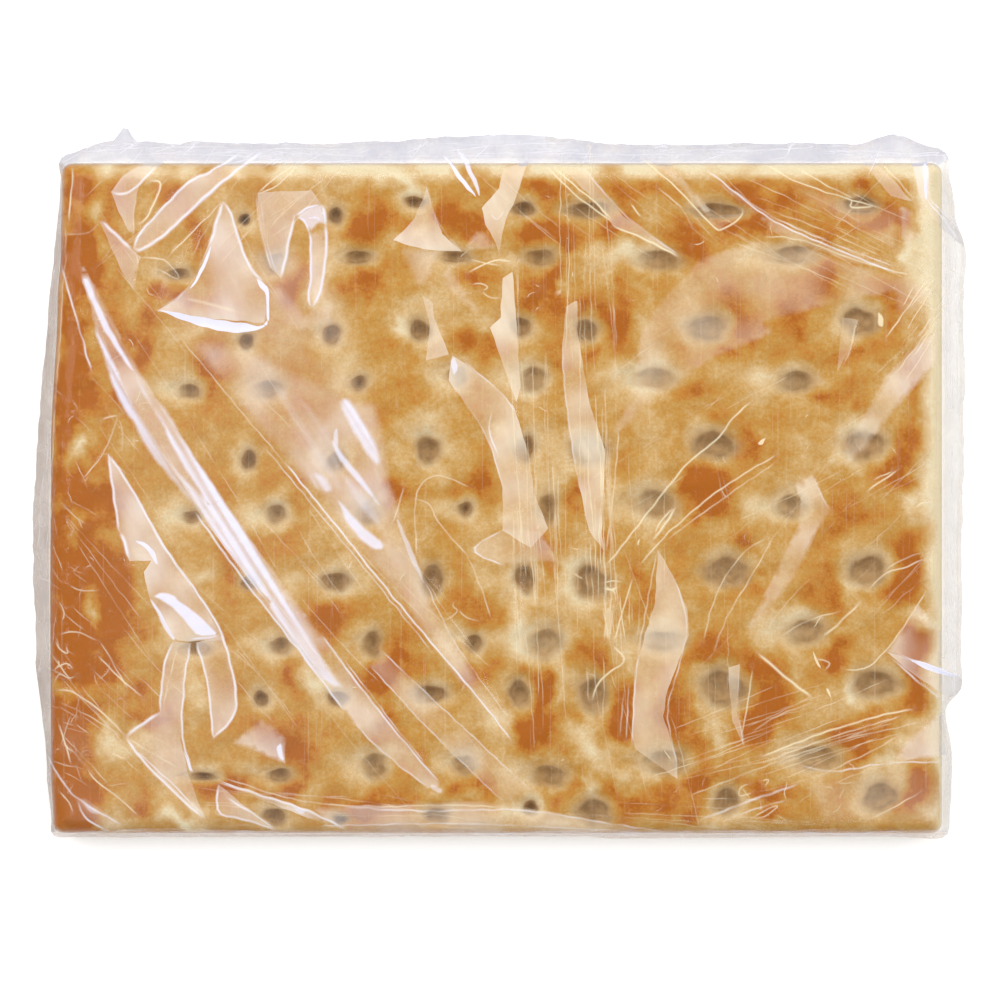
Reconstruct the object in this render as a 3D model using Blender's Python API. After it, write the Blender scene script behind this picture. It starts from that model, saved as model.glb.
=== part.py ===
"""A 40 x 30 cm focaccia sealed in a clear film bag, as one closed solid.

The bread and the film that hugs it are modelled as a single envelope. Its top is the crust, pillowy between
rows of pressed dimples and rounded at the shoulder, with the main pleats of the film standing up from it as
low ridges. Round the bread the solid goes on as the bag's slack edge, which slopes down to a thin rim and runs
back under the bread. The underside is flat.

Metres, +Z up. X runs along the bread's long side, and the origin is under the middle of the bag.
"""

import math
import random

import bmesh
import bpy
from mathutils import Vector
from mathutils.geometry import delaunay_2d_cdt

# Bread, with its middle at the origin until the pack is whole
BREAD_LENGTH = 0.400
BREAD_WIDTH = 0.300
BREAD_CORNER = 0.006
# How far the left side, from its near end to its far one, leans in from a straight line
LEFT_LEAN = ((-0.145, 0.0024), (-0.046, 0.0), (0.022, 0.0016), (0.089, 0.0034), (0.150, 0.0060))
LEAN_START, LEAN_FULL = 0.130, 0.195  # distances left of the middle
CRUST_HEIGHT = 0.0215  # of the pillows, above the surface the bag lies on
SHOULDER_HEIGHT = 0.0150  # of the crust where it meets the side
SHOULDER_REACH = 0.011  # over which the crust rounds off towards the side
PILLOW_SWELL = 0.0014  # how far a pillow rises above the valleys between dimples
PILLOW_REACH = 0.022  # from a dimple's middle to a pillow's crown

# Dimples, pressed by a roller whose rows of pins alternate between round and oval.
# A row is its distance from the bread's middle, and every row climbs a little towards +X.
ROW_CLIMB = 0.026
ROUND_ROWS = (0.1289, 0.0754, 0.0216, -0.0359, -0.0876, -0.1396)
OVAL_ROWS = (0.1060, 0.0525, -0.0058, -0.0638, -0.1208)
# A column is its place in the first row and in the last, then its dimples' half length and half width.
ROUND_COLUMNS = (
    (-0.1136, -0.1015, 0.0036, 0.0042),
    (-0.0720, -0.0714, 0.0046, 0.0047),
    (-0.0350, -0.0256, 0.0062, 0.0061),
    (0.0121, 0.0139, 0.0048, 0.0064),
    (0.0404, 0.0458, 0.0080, 0.0064),
    (0.0965, 0.1064, 0.0097, 0.0070),
    (0.1625, 0.1742, 0.0090, 0.0072),
)
OVAL_COLUMNS = (
    (-0.1414, -0.1329, 0.0046, 0.0030),
    (-0.1024, -0.0970, 0.0060, 0.0042),
    (-0.0633, -0.0548, 0.0062, 0.0049),
    (-0.0175, -0.0117, 0.0044, 0.0040),
    (0.0184, 0.0207, 0.0092, 0.0058),
    (0.0691, 0.0763, 0.0112, 0.0058),
    (0.1293, 0.1419, 0.0108, 0.0060),
)
EDGE_ROW_SQUASH = 0.68  # half width of the dimples in the first row, by the bread's long edge
DIMPLE_FLOOR = 0.0080  # height of a dimple's flat bottom
DIMPLE_WALL = 0.76  # share of a dimple's half size at the foot of its wall
FUNNEL_SPREAD = 1.70  # share of it where the crust starts to bend down
FUNNEL_DEPTH = 0.0028

# Slack film round the bread: (place along the side, margin) from one end to the other
LEFT_MARGINS = (
    (-0.150, 0.0028), (-0.068, 0.0080), (-0.020, 0.0096), (0.045, 0.0075), (0.095, 0.0045), (0.143, 0.0022),
)
RIGHT_MARGINS = (
    (-0.150, 0.0045), (-0.118, 0.0058), (-0.096, 0.0026), (-0.084, 0.0098),
    (0.060, 0.0112), (0.110, 0.0112), (0.130, 0.0070), (0.150, 0.0040),
)
FAR_MARGINS = (
    (-0.200, 0.0050), (-0.178, 0.0112), (-0.171, 0.0180), (-0.165, 0.0108), (-0.090, 0.0098),
    (0.012, 0.0138), (0.060, 0.0094), (0.160, 0.0100), (0.180, 0.0134), (0.200, 0.0080),
)
NEAR_MARGINS = ((-0.200, 0.0030), (0.040, 0.0026), (0.052, 0.0036), (0.170, 0.0026), (0.200, 0.0036))
RIM_HEIGHT = 0.0085  # of the bag's outermost edge
RIM_THICKNESS = 0.0012
SKIRT_MIDDLE = 0.45  # share of the margin where the slope changes
SKIRT_SAG = 1.35  # how hollow the film hangs between the shoulder and the rim
TUCK_REACH, TUCK_HEIGHT = 0.25, 0.0022  # share of the margin where the film turns under, and its height there
UNDERSIDE_INSET = 0.004  # where the film leaves the flat underside, in from the bread's side

# Pleats of the film over the crust: height, half width, and the points of the crest
PLEATS = (
    (0.0022, 0.0055, ((-0.189, 0.111), (-0.169, 0.053), (-0.142, 0.008), (-0.106, -0.046), (-0.070, -0.086))),
    (0.0016, 0.0050, ((-0.072, 0.044), (-0.025, -0.046), (0.006, -0.106))),
    (0.0014, 0.0045, ((-0.068, -0.064), (-0.024, -0.131))),
    (0.0018, 0.0045, ((-0.123, 0.134), (-0.152, 0.084), (-0.102, 0.080))),
    (0.0016, 0.0045, ((0.101, 0.140), (0.127, 0.120), (0.190, 0.100))),
    (0.0014, 0.0045, ((0.190, 0.093), (0.157, 0.008), (0.112, -0.059))),
    (0.0014, 0.0040, ((0.087, -0.131), (0.190, -0.095))),
    (0.0012, 0.0040, ((0.002, 0.102), (0.009, 0.013), (0.011, -0.064))),
    (0.0014, 0.0040, ((0.071, -0.127), (0.069, -0.064), (0.078, -0.021))),
)
PLEAT_TAPER = 0.018  # over which a pleat rises from either end

# Mesh
OUTLINE_STEP = 0.0075
CORNER_STEPS = 4
SHOULDER_RINGS = (0.22, 0.62)  # shares of the shoulder's reach
DIMPLE_SIDES = 12
PLEAT_STEP = 0.010
FILL_STEP = 0.0125
FILL_WANDER = 0.2  # share of a step
FILL_SEED = 7
LEAST_GAP = 0.0012  # between the fill and what it goes round
MERGE = 1e-5


def smooth(t):
    """0 below 0, 1 above 1, and an S-curve between."""
    t = min(1.0, max(0.0, t))
    return t * t * (3 - 2 * t)


def between(stations, place):
    """The value at a place, on an S-curve from one station to the next."""
    if place <= stations[0][0]:
        return stations[0][1]
    for (start, low), (end, high) in zip(stations, stations[1:]):
        if place <= end:
            return low + (high - low) * smooth((place - start) / (end - start))
    return stations[-1][1]


def bread_outline():
    """Points round the bread from its near right corner, anticlockwise, each with its outward normal."""
    half_x = BREAD_LENGTH / 2 - BREAD_CORNER
    half_y = BREAD_WIDTH / 2 - BREAD_CORNER
    corners = ((half_x, -half_y), (half_x, half_y), (-half_x, half_y), (-half_x, -half_y))
    outline = []
    for k, middle in enumerate(corners):
        for step in range(CORNER_STEPS + 1):
            angle = math.radians(90) * (k - 1 + step / CORNER_STEPS)
            normal = Vector((math.cos(angle), math.sin(angle)))
            outline.append((Vector(middle) + BREAD_CORNER * normal, normal))
        start, normal = outline[-1]
        end = Vector(corners[(k + 1) % len(corners)]) + BREAD_CORNER * normal
        steps = round((end - start).length / OUTLINE_STEP)
        outline += [(start.lerp(end, step / steps), normal) for step in range(1, steps)]
    return outline


def margin(point, normal):
    """How far the bag reaches beyond the bread here. Round a corner, the two sides' margins blend."""
    across = between(RIGHT_MARGINS if normal.x > 0 else LEFT_MARGINS, point.y)
    along = between(FAR_MARGINS if normal.y > 0 else NEAR_MARGINS, point.x)
    return normal.x**2 * across + normal.y**2 * along


def depth_inside(point):
    """Distance inwards from the bread's side."""
    dx = abs(point.x) - (BREAD_LENGTH / 2 - BREAD_CORNER)
    dy = abs(point.y) - (BREAD_WIDTH / 2 - BREAD_CORNER)
    return BREAD_CORNER - math.hypot(max(dx, 0), max(dy, 0)) - min(max(dx, dy), 0)


def lean(point):
    """How far a point moves right, so that the left side isn't quite straight."""
    return between(LEFT_LEAN, point.y) * smooth((-point.x - LEAN_START) / (LEAN_FULL - LEAN_START))


class Dimple:
    """A pressed hole, with an elliptical rim."""

    def __init__(self, middle, half_length, half_width):
        self.middle = middle
        self.half_length = half_length
        self.half_width = half_width

    def reach(self, point):
        """Distance from the middle, 1 at the rim."""
        dx, dy = point - self.middle
        return math.hypot(dx / self.half_length, dy / self.half_width)

    def ring(self, share, turn):
        """Points round the dimple at a share of its half size."""
        angles = [2 * math.pi * (side + turn) / DIMPLE_SIDES for side in range(DIMPLE_SIDES)]
        half_length, half_width = self.half_length * share, self.half_width * share
        return [self.middle + Vector((half_length * math.cos(a), half_width * math.sin(a))) for a in angles]


def dimple_grid():
    """The dimples of both kinds of row."""
    dimples = []
    for rows, columns in ((ROUND_ROWS, ROUND_COLUMNS), (OVAL_ROWS, OVAL_COLUMNS)):
        for row in rows:
            share = (rows[0] - row) / (rows[0] - rows[-1])
            squash = EDGE_ROW_SQUASH if row == ROUND_ROWS[0] else 1.0
            for first, last, half_length, half_width in columns:
                x = first + (last - first) * share
                middle = Vector((x, row + ROW_CLIMB * x))
                dimples.append(Dimple(middle, half_length, half_width * squash))
    return dimples


class Pleat:
    """A ridge of film along a line."""

    def __init__(self, height, half_width, crest):
        self.height = height
        self.half_width = half_width
        self.crest = [Vector(point) for point in crest]
        self.length = sum((b - a).length for a, b in zip(self.crest, self.crest[1:]))

    def lift(self, point):
        """How much of the ridge's height this point has."""
        best, run = 0.0, 0.0
        for a, b in zip(self.crest, self.crest[1:]):
            leg = b - a
            along = min(1.0, max(0.0, (point - a).dot(leg) / leg.length_squared))
            off = (point - a - leg * along).length
            place = run + along * leg.length
            taper = smooth(min(place, self.length - place) / PLEAT_TAPER)
            best = max(best, taper * (1 - off / self.half_width))
            run += leg.length
        return best

    def lines(self):
        """The crest and the two feet, as points at even steps."""
        steps = round(self.length / PLEAT_STEP)
        points = [self.at(self.length * step / steps) for step in range(steps + 1)]
        yield [point for point, _ in points]
        for side in (-1, 1):
            yield [point + side * self.half_width * across for point, across in points[1:-1]]

    def at(self, run):
        """The point this far along the crest, and the direction across it."""
        for a, b in zip(self.crest, self.crest[1:]):
            leg = b - a
            if run <= leg.length or b is self.crest[-1]:
                return a + leg.normalized() * min(run, leg.length), Vector((-leg.y, leg.x)).normalized()
            run -= leg.length


def crust(point, dimples, pleats):
    """Height of the top surface at a point of the bread."""
    depth = min(1.0, max(0.0, depth_inside(point) / SHOULDER_REACH))
    rise = math.sqrt(1 - (1 - depth) ** 2)
    sheet = SHOULDER_HEIGHT + (CRUST_HEIGHT - SHOULDER_HEIGHT) * rise
    reach = min(dimple.reach(point) for dimple in dimples)
    gap = min((point - dimple.middle).length for dimple in dimples)
    top = sheet - PILLOW_SWELL * rise * (1 - smooth(gap / PILLOW_REACH))
    top -= FUNNEL_DEPTH * rise * (1 - smooth((reach - 1) / (FUNNEL_SPREAD - 1)))
    top = DIMPLE_FLOOR + (top - DIMPLE_FLOOR) * smooth((reach - DIMPLE_WALL) / (1 - DIMPLE_WALL))
    highest = top
    for pleat in pleats:
        highest = max(highest, top + pleat.lift(point) * (sheet + rise * pleat.height - top))
    return highest


class Plan:
    """Points and fixed edges in plan, for a triangulation that keeps the edges."""

    def __init__(self):
        self.points = []
        self.edges = []

    def add(self, line, closed=False):
        """Adds the points, joined in order."""
        start = len(self.points)
        self.points += line
        stop = len(self.points)
        self.edges += [(i, i + 1) for i in range(start, stop - 1)]
        if closed:
            self.edges.append((stop - 1, start))

    def triangles(self, outline_count):
        """(points, faces) within the outline, which was added first."""
        outline = [list(range(outline_count))]
        points, _, faces, *_ = delaunay_2d_cdt(self.points, self.edges, outline, 1, MERGE)
        return points, faces


def top_plan(outline, dimples, pleats):
    """The outline, shoulder rings, each dimple's foot, rim and funnel, the pleats, and a loose fill."""

    def free(point):
        on_dimple = any(dimple.reach(point) < FUNNEL_SPREAD + LEAST_GAP / dimple.half_width for dimple in dimples)
        return not on_dimple and all(pleat.lift(point) < LEAST_GAP / pleat.half_width for pleat in pleats)

    plan = Plan()
    plan.add([point for point, _ in outline], closed=True)
    for share in SHOULDER_RINGS:
        for point, normal in outline:
            inner = point - normal * share * SHOULDER_REACH
            if free(inner):
                plan.add([inner])
    for dimple in dimples:
        plan.add([dimple.middle])
        for share, turn in ((DIMPLE_WALL, 0.0), (1.0, 0.5), (FUNNEL_SPREAD, 0.0)):
            ring = dimple.ring(share, turn)
            whole = all(depth_inside(point) > LEAST_GAP for point in ring)
            if whole:
                plan.add(ring, closed=True)
            else:
                for point in ring:
                    if depth_inside(point) > LEAST_GAP:
                        plan.add([point])
    for pleat in pleats:
        for line in pleat.lines():
            plan.add(line)
    rng = random.Random(FILL_SEED)
    half_columns = int(BREAD_LENGTH / FILL_STEP / 2)
    half_rows = int(BREAD_WIDTH / FILL_STEP / 2)
    for i in range(-half_columns, half_columns + 1):
        for j in range(-half_rows, half_rows + 1):
            x = (i + 0.5 * (j % 2) + FILL_WANDER * rng.uniform(-1, 1)) * FILL_STEP
            y = (j + FILL_WANDER * rng.uniform(-1, 1)) * FILL_STEP
            point = Vector((x, y))
            if depth_inside(point) > SHOULDER_REACH and free(point):
                plan.add([point])
    return plan


def skirt_rings(outline):
    """The film round the bread, from just outside the shoulder to the rim and back under the bread."""
    rings = []
    for share in (SKIRT_MIDDLE, 1.0):
        height = RIM_HEIGHT + (SHOULDER_HEIGHT - RIM_HEIGHT) * (1 - share) ** SKIRT_SAG
        rings.append([(p + n * share * margin(p, n)).to_3d() + Vector((0, 0, height)) for p, n in outline])
    under_rim = RIM_HEIGHT - RIM_THICKNESS
    rings.append([(p + n * margin(p, n)).to_3d() + Vector((0, 0, under_rim)) for p, n in outline])
    rings.append([(p + n * TUCK_REACH * margin(p, n)).to_3d() + Vector((0, 0, TUCK_HEIGHT)) for p, n in outline])
    rings.append([(p - n * UNDERSIDE_INSET).to_3d() for p, n in outline])
    return rings


def film_pack():
    """The whole pack as one closed mesh, with its box's middle over the origin."""
    outline = bread_outline()
    dimples = dimple_grid()
    pleats = [Pleat(*pleat) for pleat in PLEATS]
    count = len(outline)
    points, faces = top_plan(outline, dimples, pleats).triangles(count)
    mesh = bmesh.new()
    top = [mesh.verts.new((*point, crust(point, dimples, pleats))) for point in points]
    for face in faces:
        mesh.faces.new([top[i] for i in face])
    upper = top[:count]
    for ring in skirt_rings(outline):
        lower = [mesh.verts.new(point) for point in ring]
        for i in range(count):
            j = (i + 1) % count
            mesh.faces.new((upper[j], upper[i], lower[i], lower[j]))
        upper = lower
    mesh.faces.new(list(reversed(upper)))
    bmesh.ops.recalc_face_normals(mesh, faces=mesh.faces)
    for vertex in mesh.verts:
        vertex.co.x += lean(vertex.co)
    xs, ys = [v.co.x for v in mesh.verts], [v.co.y for v in mesh.verts]
    middle = Vector(((min(xs) + max(xs)) / 2, (min(ys) + max(ys)) / 2, 0))
    bmesh.ops.translate(mesh, verts=mesh.verts, vec=-middle)
    return mesh


def crust_material():
    """Golden baked crust, seen through the film."""
    material = bpy.data.materials.new("focaccia_crust")
    material.use_nodes = True
    shader = material.node_tree.nodes["Principled BSDF"]
    shader.inputs["Base Color"].default_value = (0.60, 0.32, 0.09, 1.0)
    shader.inputs["Roughness"].default_value = 0.45
    shader.inputs["Metallic"].default_value = 0.0
    return material


def clear_scene():
    for leftover in list(bpy.data.objects):
        bpy.data.objects.remove(leftover)


def main():
    clear_scene()
    shape = film_pack()
    data = bpy.data.meshes.new("wrapped_focaccia")
    shape.to_mesh(data)
    shape.free()
    data.materials.append(crust_material())
    data.shade_smooth()
    data.set_sharp_from_angle(angle=math.radians(40))
    pack = bpy.data.objects.new("wrapped_focaccia", data)
    bpy.context.scene.collection.objects.link(pack)


main()
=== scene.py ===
"""Looks of the bagged focaccia: the baked bread, and the clear, crumpled film bag that is sealed round it.

Lengths are millimetres from the bread's middle, with Z up from the surface that the bag lies on. They become
metres where a mesh is made.
"""

import math

import bpy
import numpy as np
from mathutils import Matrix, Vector
from mathutils.geometry import delaunay_2d_cdt
from mathutils.kdtree import KDTree


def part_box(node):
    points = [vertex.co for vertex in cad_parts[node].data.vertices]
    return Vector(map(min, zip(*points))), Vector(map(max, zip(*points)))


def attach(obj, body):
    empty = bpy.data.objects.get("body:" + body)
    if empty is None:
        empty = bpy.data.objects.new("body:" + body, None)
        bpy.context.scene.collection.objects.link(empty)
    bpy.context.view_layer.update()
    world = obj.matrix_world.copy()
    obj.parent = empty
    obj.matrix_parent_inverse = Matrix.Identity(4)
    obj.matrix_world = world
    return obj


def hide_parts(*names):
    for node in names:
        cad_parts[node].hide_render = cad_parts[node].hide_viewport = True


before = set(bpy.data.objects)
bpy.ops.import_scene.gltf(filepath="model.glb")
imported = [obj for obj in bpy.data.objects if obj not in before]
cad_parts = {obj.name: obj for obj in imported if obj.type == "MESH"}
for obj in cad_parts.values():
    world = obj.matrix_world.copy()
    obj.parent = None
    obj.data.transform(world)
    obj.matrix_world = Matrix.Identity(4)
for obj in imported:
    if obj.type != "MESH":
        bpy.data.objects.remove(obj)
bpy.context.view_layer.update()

MM = 0.001
FROM_RIGHT, FROM_NEAR = 211.2, 153.6  # from the bread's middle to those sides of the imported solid's box

# Bread
BREAD_SIZE = np.array((400.0, 300.0))
BREAD_CORNER, CORNER_POINTS = 4.0, 6
# How far the left side, from its near end to its far one, leans in from a straight line
LEFT_LEAN = ((-145, 1.4), (-122, 0.3), (-46, 0.0), (22, 0.3), (89, 3.3), (110, 4.8), (150, 5.4))
LEAN_START, LEAN_FULL = 130.0, 195.0  # distances left of the middle
CRUST_HEIGHT = 21.5
SHOULDER_HEIGHT = 15.0  # of the crust where it meets the side
SHOULDER_REACH = 11.0
SHOULDER_SHARES = (0.08, 0.2, 0.38, 0.62)  # of that reach, where it has rings of points
PILLOW_SWELL, PILLOW_REACH = 1.4, 22.0
CRUST_RIPPLES = ((0.32, 17, 41), (0.13, 6, 42))  # height, wavelength and seed of each
SIDE_RINGS = ((12.0, 0.8), (8.0, 0.7), (3.2, -0.8), (0.9, -3.0), (0.6, -5.0))  # height, and how far out
BREAD_STEP = 2.6  # between points round the bread
BREAD_FILL = 2.15  # between points on the crust
BREAD_CLEAR, BREAD_INSET = 0.9, 1.5  # of those: gap to the fixed points, and distance from the bread's side
GRID_JITTER = 0.22  # how far they stray from even rows, as a share of the distance between them
BREAD_SEED, SHINE_SEED, FILM_SEED = 7, 8, 9

# Dimples, row by row from the far side: middle, half length and half width. Every other row is of ovals,
# drawn out to a shallow tail on their left.
ROUND, OVAL = 0.0, 1.0
DIMPLE_ROWS = (
    (ROUND, (
        (-113, 125, 3.1, 2.7), (-72, 127, 3.6, 3.6), (-36.5, 133, 4.9, 2.7), (12.5, 130, 4.9, 3.6),
        (41.5, 129.5, 10.3, 3.6), (99.5, 129, 10.8, 3.6), (163.5, 131.5, 7.6, 4.0),
    )),
    (OVAL, (
        (-144, 100.5, 7.2, 2.7), (-100.5, 105.5, 5.8, 4.5), (-63.5, 108, 8.1, 3.1), (-20, 108.5, 9.0, 2.7),
        (18, 108, 7.6, 4.0), (71.5, 107, 10.8, 4.5), (131, 109, 11.7, 4.0),
    )),
    (ROUND, (
        (-112, 70.5, 3.6, 3.6), (-74, 73.5, 4.5, 4.5), (-34, 75.5, 4.5, 4.9), (11, 77, 4.9, 4.5),
        (40.5, 75.5, 5.4, 4.9), (95, 76.5, 8.5, 5.8), (163.5, 79.5, 8.1, 5.8),
    )),
    (OVAL, (
        (-139, 48, 6.3, 3.6), (-103.5, 49, 8.1, 4.0), (-62.5, 51.5, 4.5, 3.6), (-18.5, 55, 5.8, 4.0),
        (15.5, 53.5, 7.2, 5.4), (69, 54, 9.9, 4.9), (133.5, 52.5, 9.4, 4.5),
    )),
    (ROUND, (
        (-111, 17, 3.6, 4.5), (-72, 16.5, 4.5, 4.5), (-30.5, 22, 5.8, 5.8), (13, 22.5, 4.5, 5.8),
        (42, 21.5, 8.1, 6.3), (98, 24, 9.4, 6.3), (165.5, 24, 8.5, 6.7),
    )),
    (OVAL, (
        (-137.5, -8.5, 4.9, 3.1), (-99.5, -7, 5.4, 4.0), (-59, -6.5, 5.8, 5.4), (-14.5, -5, 4.0, 3.6),
        (22.5, -4.5, 4.9, 6.3), (70, -2.5, 10.3, 6.3), (131, -3.5, 8.1, 4.9),
    )),
    (ROUND, (
        (-110.5, -38, 4.0, 4.0), (-72, -37.5, 6.3, 4.5), (-28.5, -36.5, 5.4, 6.7), (13, -36, 4.5, 6.3),
        (43, -37.5, 7.6, 7.6), (103.5, -33, 9.0, 7.2), (167, -32.5, 8.1, 6.7),
    )),
    (OVAL, (
        (-136, -67.5, 8.1, 3.1), (-98, -66.5, 5.8, 4.0), (-56.5, -65.5, 5.4, 5.4), (-11, -65, 4.9, 4.0),
        (20, -65, 9.0, 6.3), (73, -64, 10.3, 4.5), (137.5, -60, 9.9, 5.4),
    )),
    (ROUND, (
        (-105.5, -90, 3.6, 3.6), (-71, -90, 4.5, 3.6), (-29, -88, 7.6, 3.6), (10.5, -87.5, 4.9, 5.8),
        (43.5, -88, 6.7, 7.2), (102.5, -85.5, 9.9, 8.1), (170.5, -83.5, 9.4, 6.3),
    )),
    (OVAL, (
        (-133, -125, 7.6, 1.8), (-98.5, -124.5, 6.7, 3.1), (-56, -120, 7.2, 5.4), (-15.5, -119.5, 6.7, 4.0),
        (22, -124.5, 9.0, 4.9), (73.5, -118.5, 11.7, 4.9), (141, -116.5, 11.7, 5.8),
    )),
    (ROUND, (
        (-99.5, -143, 4.9, 4.0), (-70, -144.5, 4.0, 2.2), (-26.5, -142.5, 5.4, 3.6), (15.5, -139, 3.6, 3.1),
        (44, -141, 7.6, 5.8), (103.5, -136, 5.8, 5.8), (172.5, -134, 7.6, 6.3),
    )),
)
TEARDROP = 0.28  # how much wider an oval's right end is than its middle
DIMPLE_FLOOR = 14.0
DIMPLE_WALL = 0.25  # where its wall begins to rise, with 1 at the rim
FUNNEL_SPREAD, FUNNEL_DEPTH = 1.9, 1.3
DIMPLE_SIDES = 30
DIMPLE_LOOPS = (0.78, 0.90, 1.0, 1.2)  # shares of a dimple's half size that are edges of the mesh
DIMPLE_RINGS = (0.25, 0.5, 0.66, 0.84, 0.95, 1.08, 1.38, 1.62)  # and those that only hold points
RING_TWIST = 3.0  # how far the ring at the rim is turned against the middle, in points
DIMPLE_WOBBLE = ((2, 0.07), (3, 0.05), (5, 0.025))  # lobes round the rim, and how far each swings
WOBBLE_SEED = 5
TAIL_RISE = 5.0  # how much higher the floor of an oval dimple is at its left end
TAIL_START, TAIL_SPAN = -0.3125, 1.25  # where it starts to rise left of the middle, in half lengths
DIMPLE_BOX = 34.0  # further than this from its middle a dimple changes nothing
DIMPLE_INSET = 0.8  # least distance of its points from the bread's side
CLEAR_RINGS, CLEAR_FILL = 1.3, 1.25  # how near the shoulder's and the loose points come, in its half sizes

# Bag: (place along the side, margin) from one end to the other
LEFT_MARGINS = ((-150, 1.8), (-122, 3.0), (-68, 7.6), (-20, 9.1), (45, 6.6), (95, 4.6), (143, 1.8))
RIGHT_MARGINS = (
    (-150, 4.5), (-118, 5.8), (-96, 2.6), (-84, 9.8), (60, 11.2), (110, 11.2), (130, 7.0), (150, 4.0),
)
FAR_MARGINS = (
    (-200, 5.0), (-178, 11.2), (-171, 18.0), (-165, 10.8), (-90, 9.8), (12, 13.8), (60, 9.4), (160, 10.0),
    (180, 13.4), (200, 8.0),
)
NEAR_MARGINS = ((-200, 3.0), (40, 2.6), (52, 3.6), (170, 2.6), (200, 3.6))
MARGIN_RIPPLES = ((0.025, 23, 31), (0.015, 7, 32))  # as shares of the margin
CORNER_FLARE = 1.4  # how much further out its corners reach
RIM_HEIGHT, RIM_THICKNESS = 8.5, 0.25
SKIRT_SAG = 1.35  # power of the curve from the bread's shoulder to the rim
SKIRT_RIPPLES = ((0.35, 10, 63),)
UNDER_RINGS = ((0.6, 5.2), (0.25, 2.2))  # share of the margin, and height, of the film that is tucked under
UNDERSIDE_INSET, UNDERSIDE_HEIGHT = 4.0, 0.1
SKIRT_SHARES = (0.0, 0.14, 0.3, 0.46, 0.62, 0.78, 0.9)  # of the margin, where it has rings of points
FILM_GAP, FILM_LEAST = 0.6, 0.35  # between film and crust, as a rule and at least
FILM_DIP = 0.4  # how far it sinks over a dimple
# Distances between points: round the bread, loose on the film, along a crease, and in a reflection of a lamp
FILM_STEP, FILM_FILL, CREASE_STEP = 2.4, 2.5, 1.4
SHINE_STEP, SHINE_FILL = 0.9, 0.9
FILM_CLEAR, SHINE_CLEAR = 1.1, 0.5  # least gaps between the loose points and the others
FILM_INSET = 1.2  # distance of the loose points from the side
LINE_WANDER = 0.12  # how far the points of a crease or an edge stray
RIM_SHARE = 0.86  # share of the margin up to which it is creased
LEAST_GAP = 0.55  # between the rings' points and the fixed ones
INSET_LEAST = 0.93  # share of its depth that a point inside an edge keeps from all of the edge
MERGE = 1e-4  # points nearer than this are one
TINY = 1e-6  # keeps a division off nought

# Main pleats: height, half width, crest
PLEATS = (
    (2.2, 5.5, ((-189, 111), (-169, 53), (-142, 8), (-106, -46), (-70, -86))),
    (1.6, 5.0, ((-72, 44), (-25, -46), (6, -106))),
    (1.4, 4.5, ((-68, -64), (-24, -131))),
    (1.8, 4.5, ((-123, 134), (-152, 84), (-102, 80))),
    (1.6, 4.5, ((101, 140), (127, 120), (190, 100))),
    (1.4, 4.5, ((190, 93), (157, 8), (112, -59))),
    (1.4, 4.0, ((87, -131), (190, -95))),
    (1.2, 4.0, ((2, 102), (9, 13), (11, -64))),
    (1.4, 4.0, ((71, -127), (69, -64), (78, -21))),
)
PLEAT_SHARE, PLEAT_TAPER = 0.7, 18.0  # share of its height that the film shows, and how soon its ends rise

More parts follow.
